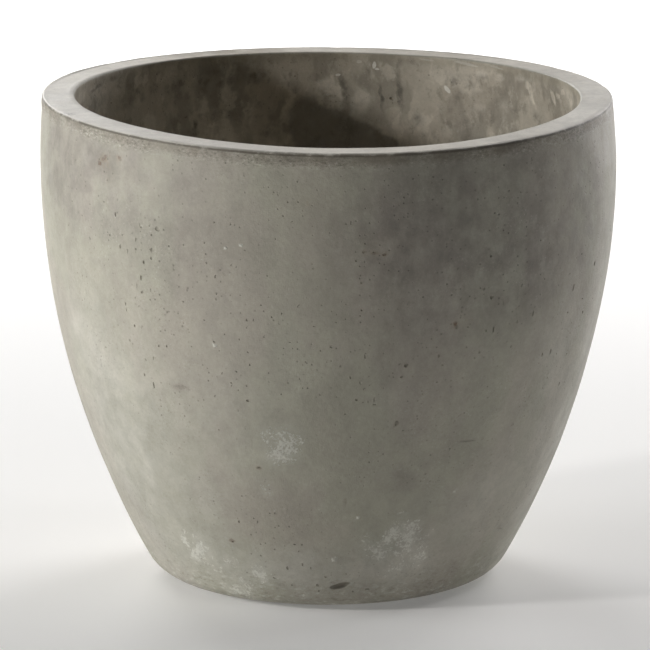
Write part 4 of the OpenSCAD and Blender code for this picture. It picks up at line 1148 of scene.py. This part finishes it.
    # painted pinholes, dark dots of painted shade pushed in by the bump, and pale specks too small for geometry
    d1, c1 = g.cells(250)
    r1, r2 = g.first(c1)
    clump = g.mul(g.ramp(g.noise(13, 4, 0.6, g.scaled(1, 1, 1, (5, 5, 5))), 0.42, 0.60), g.ramp(g.noise(45, 4, 0.6, g.scaled(1, 1, 1, (2, 8, 5))), 0.36, 0.60, 0.2, 1))
    dots = g.mul(g.mul(g.ramp(d1, 0.12, 0.25, 1, 0), g.ramp(r1, 0.68, 0.80)), g.add(g.add(0.2, g.mul(m_dark, 0.7)), g.mul(clump, 0.8)))
    dots = g.mul(dots, g.ramp(m_rim, 0.2, 0.8, 1, 0.35))
    col = g.mix(g.mul(dots, 0.62), col, (0.13, 0.115, 0.09))
    crumb = g.noise(480, 4, 0.72, g.scaled(1, 1, 0.9, (3, 3, 7)))
    low = g.mul(g.ramp(crumb, 0.33, 0.43, 1, 0), g.add(0.12, g.mul(clump, 0.88)))
    high = g.mul(g.ramp(crumb, 0.58, 0.68), g.add(0.12, g.mul(clump, 0.88)))
    plain = g.ramp(m_rim, 0.2, 0.8, 1, 0.45)
    col = g.mix(g.mul(g.mul(low, plain), 0.42), col, (0.15, 0.135, 0.11))
    col = g.mix(g.mul(g.mul(high, plain), 0.26), col, (0.60, 0.58, 0.52))

    # painted shade: inside a hole it is darker and browner
    col = g.mix(g.mul(m_painted_pit_shade, 0.46), col, (0.150, 0.132, 0.102))
    col = g.scale_colour(col, tone)
    g.link(col, g.bsdf.inputs["Base Color"])

    rough = g.ramp(g.noise(60, 4, 0.6), 0.3, 0.7, 0.52, 0.66)
    rough = g.add(rough, g.mul(lime, 0.12))
    g.link(rough, g.bsdf.inputs["Roughness"])
    g.bsdf.inputs["Specular IOR Level"].default_value = 0.5
    g.bsdf.inputs["IOR"].default_value = 1.5

    h = g.add(g.mul(g.noise(210, 4, 0.6), 0.55), g.mul(g.noise(900, 3, 0.6), 0.16))
    h = g.sub(h, g.mul(dots, 0.6))
    h = g.add(h, g.mul(lime, 0.22))
    h = g.add(h, g.mul(g.mul(near_top, part), g.mul(grit, 1.3)))
    g.link(g.bump(h, 0.00062), g.bsdf.inputs["Normal"])
    return g.mat


# ------------------------------------------------------------------ rubber and wire
def rubber(name, colour, dusty):
    g = Graph(name)
    n = g.noise(90, 4, 0.6)
    fine = g.noise(900, 3, 0.6)
    col = g.mix(g.ramp(n, 0.3, 0.7), colour, tuple(min(1.0, c * 1.35) for c in colour))
    col = g.mix(g.mul(g.ramp(g.noise(160, 5, 0.7), 0.5, 0.72), dusty), col, (0.30, 0.28, 0.25))
    g.link(col, g.bsdf.inputs["Base Color"])
    g.link(g.ramp(fine, 0.3, 0.7, 0.52, 0.70), g.bsdf.inputs["Roughness"])
    g.bsdf.inputs["Specular IOR Level"].default_value = 0.4
    g.link(g.bump(g.add(g.mul(fine, 0.4), g.mul(n, 0.6)), 0.0002), g.bsdf.inputs["Normal"])
    return g.mat


def wire():
    g = Graph("rusted_wire")
    n = g.noise(260, 5, 0.65)
    col = g.mix(g.ramp(n, 0.40, 0.60), (0.20, 0.165, 0.145), (0.215, 0.105, 0.055))
    g.link(col, g.bsdf.inputs["Base Color"])
    g.link(g.ramp(n, 0.35, 0.65, 0.45, 0.85), g.bsdf.inputs["Roughness"])
    g.link(g.ramp(n, 0.40, 0.60, 0.9, 0.1), g.bsdf.inputs["Metallic"])
    g.link(g.bump(g.noise(700, 4, 0.6), 0.00015), g.bsdf.inputs["Normal"])
    return g.mat


def dress(node, mat):
    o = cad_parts[node]
    o.data.materials.clear()
    o.data.materials.append(mat)


mat_concrete = concrete()
casting.data.materials.append(mat_concrete)
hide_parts("shell")
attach(casting, "planter")

mat_stopper = rubber("stopper_rubber", (0.030, 0.030, 0.032), 0.35)
mat_pad = rubber("pad_rubber", (0.022, 0.022, 0.023), 0.25)
mat_wire = wire()
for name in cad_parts:
    if name.startswith("foot_pad"):
        dress(name, mat_pad)
    elif name == "drain_stopper":
        dress(name, mat_stopper)
    elif name != "shell":
        dress(name, mat_wire)

# ------------------------------------------------------------------ floor, light and camera
floor_me = bpy.data.meshes.new("floor")
ring = [(14 * math.cos(2 * math.pi * i / 96), 14 * math.sin(2 * math.pi * i / 96), 0.0) for i in range(96)]
floor_me.from_pydata(ring, [], [list(range(96))])
floor = bpy.data.objects.new("floor", floor_me)
scene.collection.objects.link(floor)
fm = bpy.data.materials.new("pale_floor")
fm.use_nodes = True
fb = fm.node_tree.nodes["Principled BSDF"]
fb.inputs["Base Color"].default_value = (0.86, 0.855, 0.845, 1)
fb.inputs["Roughness"].default_value = 0.9
fb.inputs["Specular IOR Level"].default_value = 0.1
fb.inputs["Emission Color"].default_value = (1, 1, 1, 1)
fd = fm.node_tree.nodes.new("ShaderNodeVectorMath")
fd.operation = "LENGTH"
fq = fm.node_tree.nodes.new("ShaderNodeMapping")      # the white ground glows brighter to both sides, painted light that also lights the planter from below
fq.inputs["Scale"].default_value = (1.0, 0.45, 1.0)
fo = fm.node_tree.nodes.new("ShaderNodeTexCoord").outputs["Object"]
fm.node_tree.links.new(fo, fq.inputs["Vector"])
fm.node_tree.links.new(fq.outputs[0], fd.inputs[0])
far = fm.node_tree.nodes.new("ShaderNodeVectorMath")  # beyond the lamps the ground glows as pale as the backdrop
far.operation = "LENGTH"
fm.node_tree.links.new(fo, far.inputs[0])
last = None
for away, lo, hi, a, b in ((fd, 0.45, 1.8, 0.135, 0.40), (far, 3.0, 4.3, 0.0, 0.46)):
    fr = fm.node_tree.nodes.new("ShaderNodeMapRange")
    fr.interpolation_type = "SMOOTHSTEP"
    fr.inputs["From Min"].default_value = lo
    fr.inputs["From Max"].default_value = hi
    fr.inputs["To Min"].default_value = a
    fr.inputs["To Max"].default_value = b
    fm.node_tree.links.new(away.outputs["Value"], fr.inputs["Value"])
    if last is not None:
        fs = fm.node_tree.nodes.new("ShaderNodeMath")
        fm.node_tree.links.new(last, fs.inputs[0])
        fm.node_tree.links.new(fr.outputs[0], fs.inputs[1])
        last = fs.outputs[0]
    else:
        last = fr.outputs[0]
fm.node_tree.links.new(last, fb.inputs["Emission Strength"])
floor_me.materials.append(fm)


def softbox(name, az, el, dist, w, h, power, colour=(1, 1, 1), aim=(0, 0, 0.22)):
    """A square soft light. az is measured from +X towards +Y, in degrees."""
    l = bpy.data.lights.new(name, "AREA")
    l.shape = "RECTANGLE"
    l.size, l.size_y = w, h
    l.energy = power
    l.color = colour
    o = bpy.data.objects.new(name, l)
    a, e = math.radians(az), math.radians(el)
    o.location = Vector(aim) + Vector((math.cos(e) * math.cos(a), math.cos(e) * math.sin(a), math.sin(e))) * dist
    o.rotation_mode = "QUATERNION"
    o.rotation_quaternion = (Vector(aim) - o.location).to_track_quat("-Z", "Y")
    o.visible_camera = False
    scene.collection.objects.link(o)
    return o


LIGHTS = [
    ("key", -156, 16, 3.4, 0.34, 0.34, 49.0, (1.0, 0.985, 0.965)),
    ("left_low", -180, 6, 3.4, 1.5, 1.5, 51.0),
    ("left", -171, 22, 3.4, 1.5, 1.5, 4.0),
    ("right_back", 60, 30, 3.4, 1.4, 1.4, 39.0, (1.0, 0.98, 0.98)),
    ("right_back_low", 50, 6, 3.4, 1.5, 1.5, 47.0, (1.0, 0.98, 0.98)),
    ("right_high", 8, 45, 3.4, 0.6, 0.6, 8.0),
    ("back", 112, 22, 3.4, 1.5, 1.5, 58.0),
]
for row in LIGHTS:
    softbox(*row)

world = bpy.data.worlds.new("studio")
scene.world = world
world.use_nodes = True
wt = world.node_tree
wt.nodes.clear()
w_out = wt.nodes.new("ShaderNodeOutputWorld")
w_mix = wt.nodes.new("ShaderNodeMixShader")
w_dim = wt.nodes.new("ShaderNodeBackground")
w_pale = wt.nodes.new("ShaderNodeBackground")
w_path = wt.nodes.new("ShaderNodeLightPath")
w_dim.inputs["Color"].default_value = (*(0.012, 0.012, 0.012), 1)
w_dim.inputs["Strength"].default_value = 1.0
w_pale.inputs["Color"].default_value = (0.90, 0.90, 0.895, 1)
wt.links.new(w_path.outputs["Is Camera Ray"], w_mix.inputs[0])
wt.links.new(w_dim.outputs[0], w_mix.inputs[1])
wt.links.new(w_pale.outputs[0], w_mix.inputs[2])
wt.links.new(w_mix.outputs[0], w_out.inputs[0])

cam_data = bpy.data.cameras.new("camera")
cam_data.sensor_width = 36.0
cam_data.lens = 332.1
cam_data.clip_end = 60
cam = bpy.data.objects.new("camera", cam_data)
scene.collection.objects.link(cam)
cam.location = (-0.0020, -5.1083, 1.3973)
aim = Vector((-0.0020, 0.0, 0.2192))
cam.rotation_mode = "QUATERNION"
cam.rotation_quaternion = (aim - cam.location).to_track_quat("-Z", "Y")
scene.camera = cam
scene.view_settings.view_transform = "Standard"
scene.view_settings.look = "None"
scene.view_settings.exposure = 0.0
scene.view_settings.gamma = 1.0
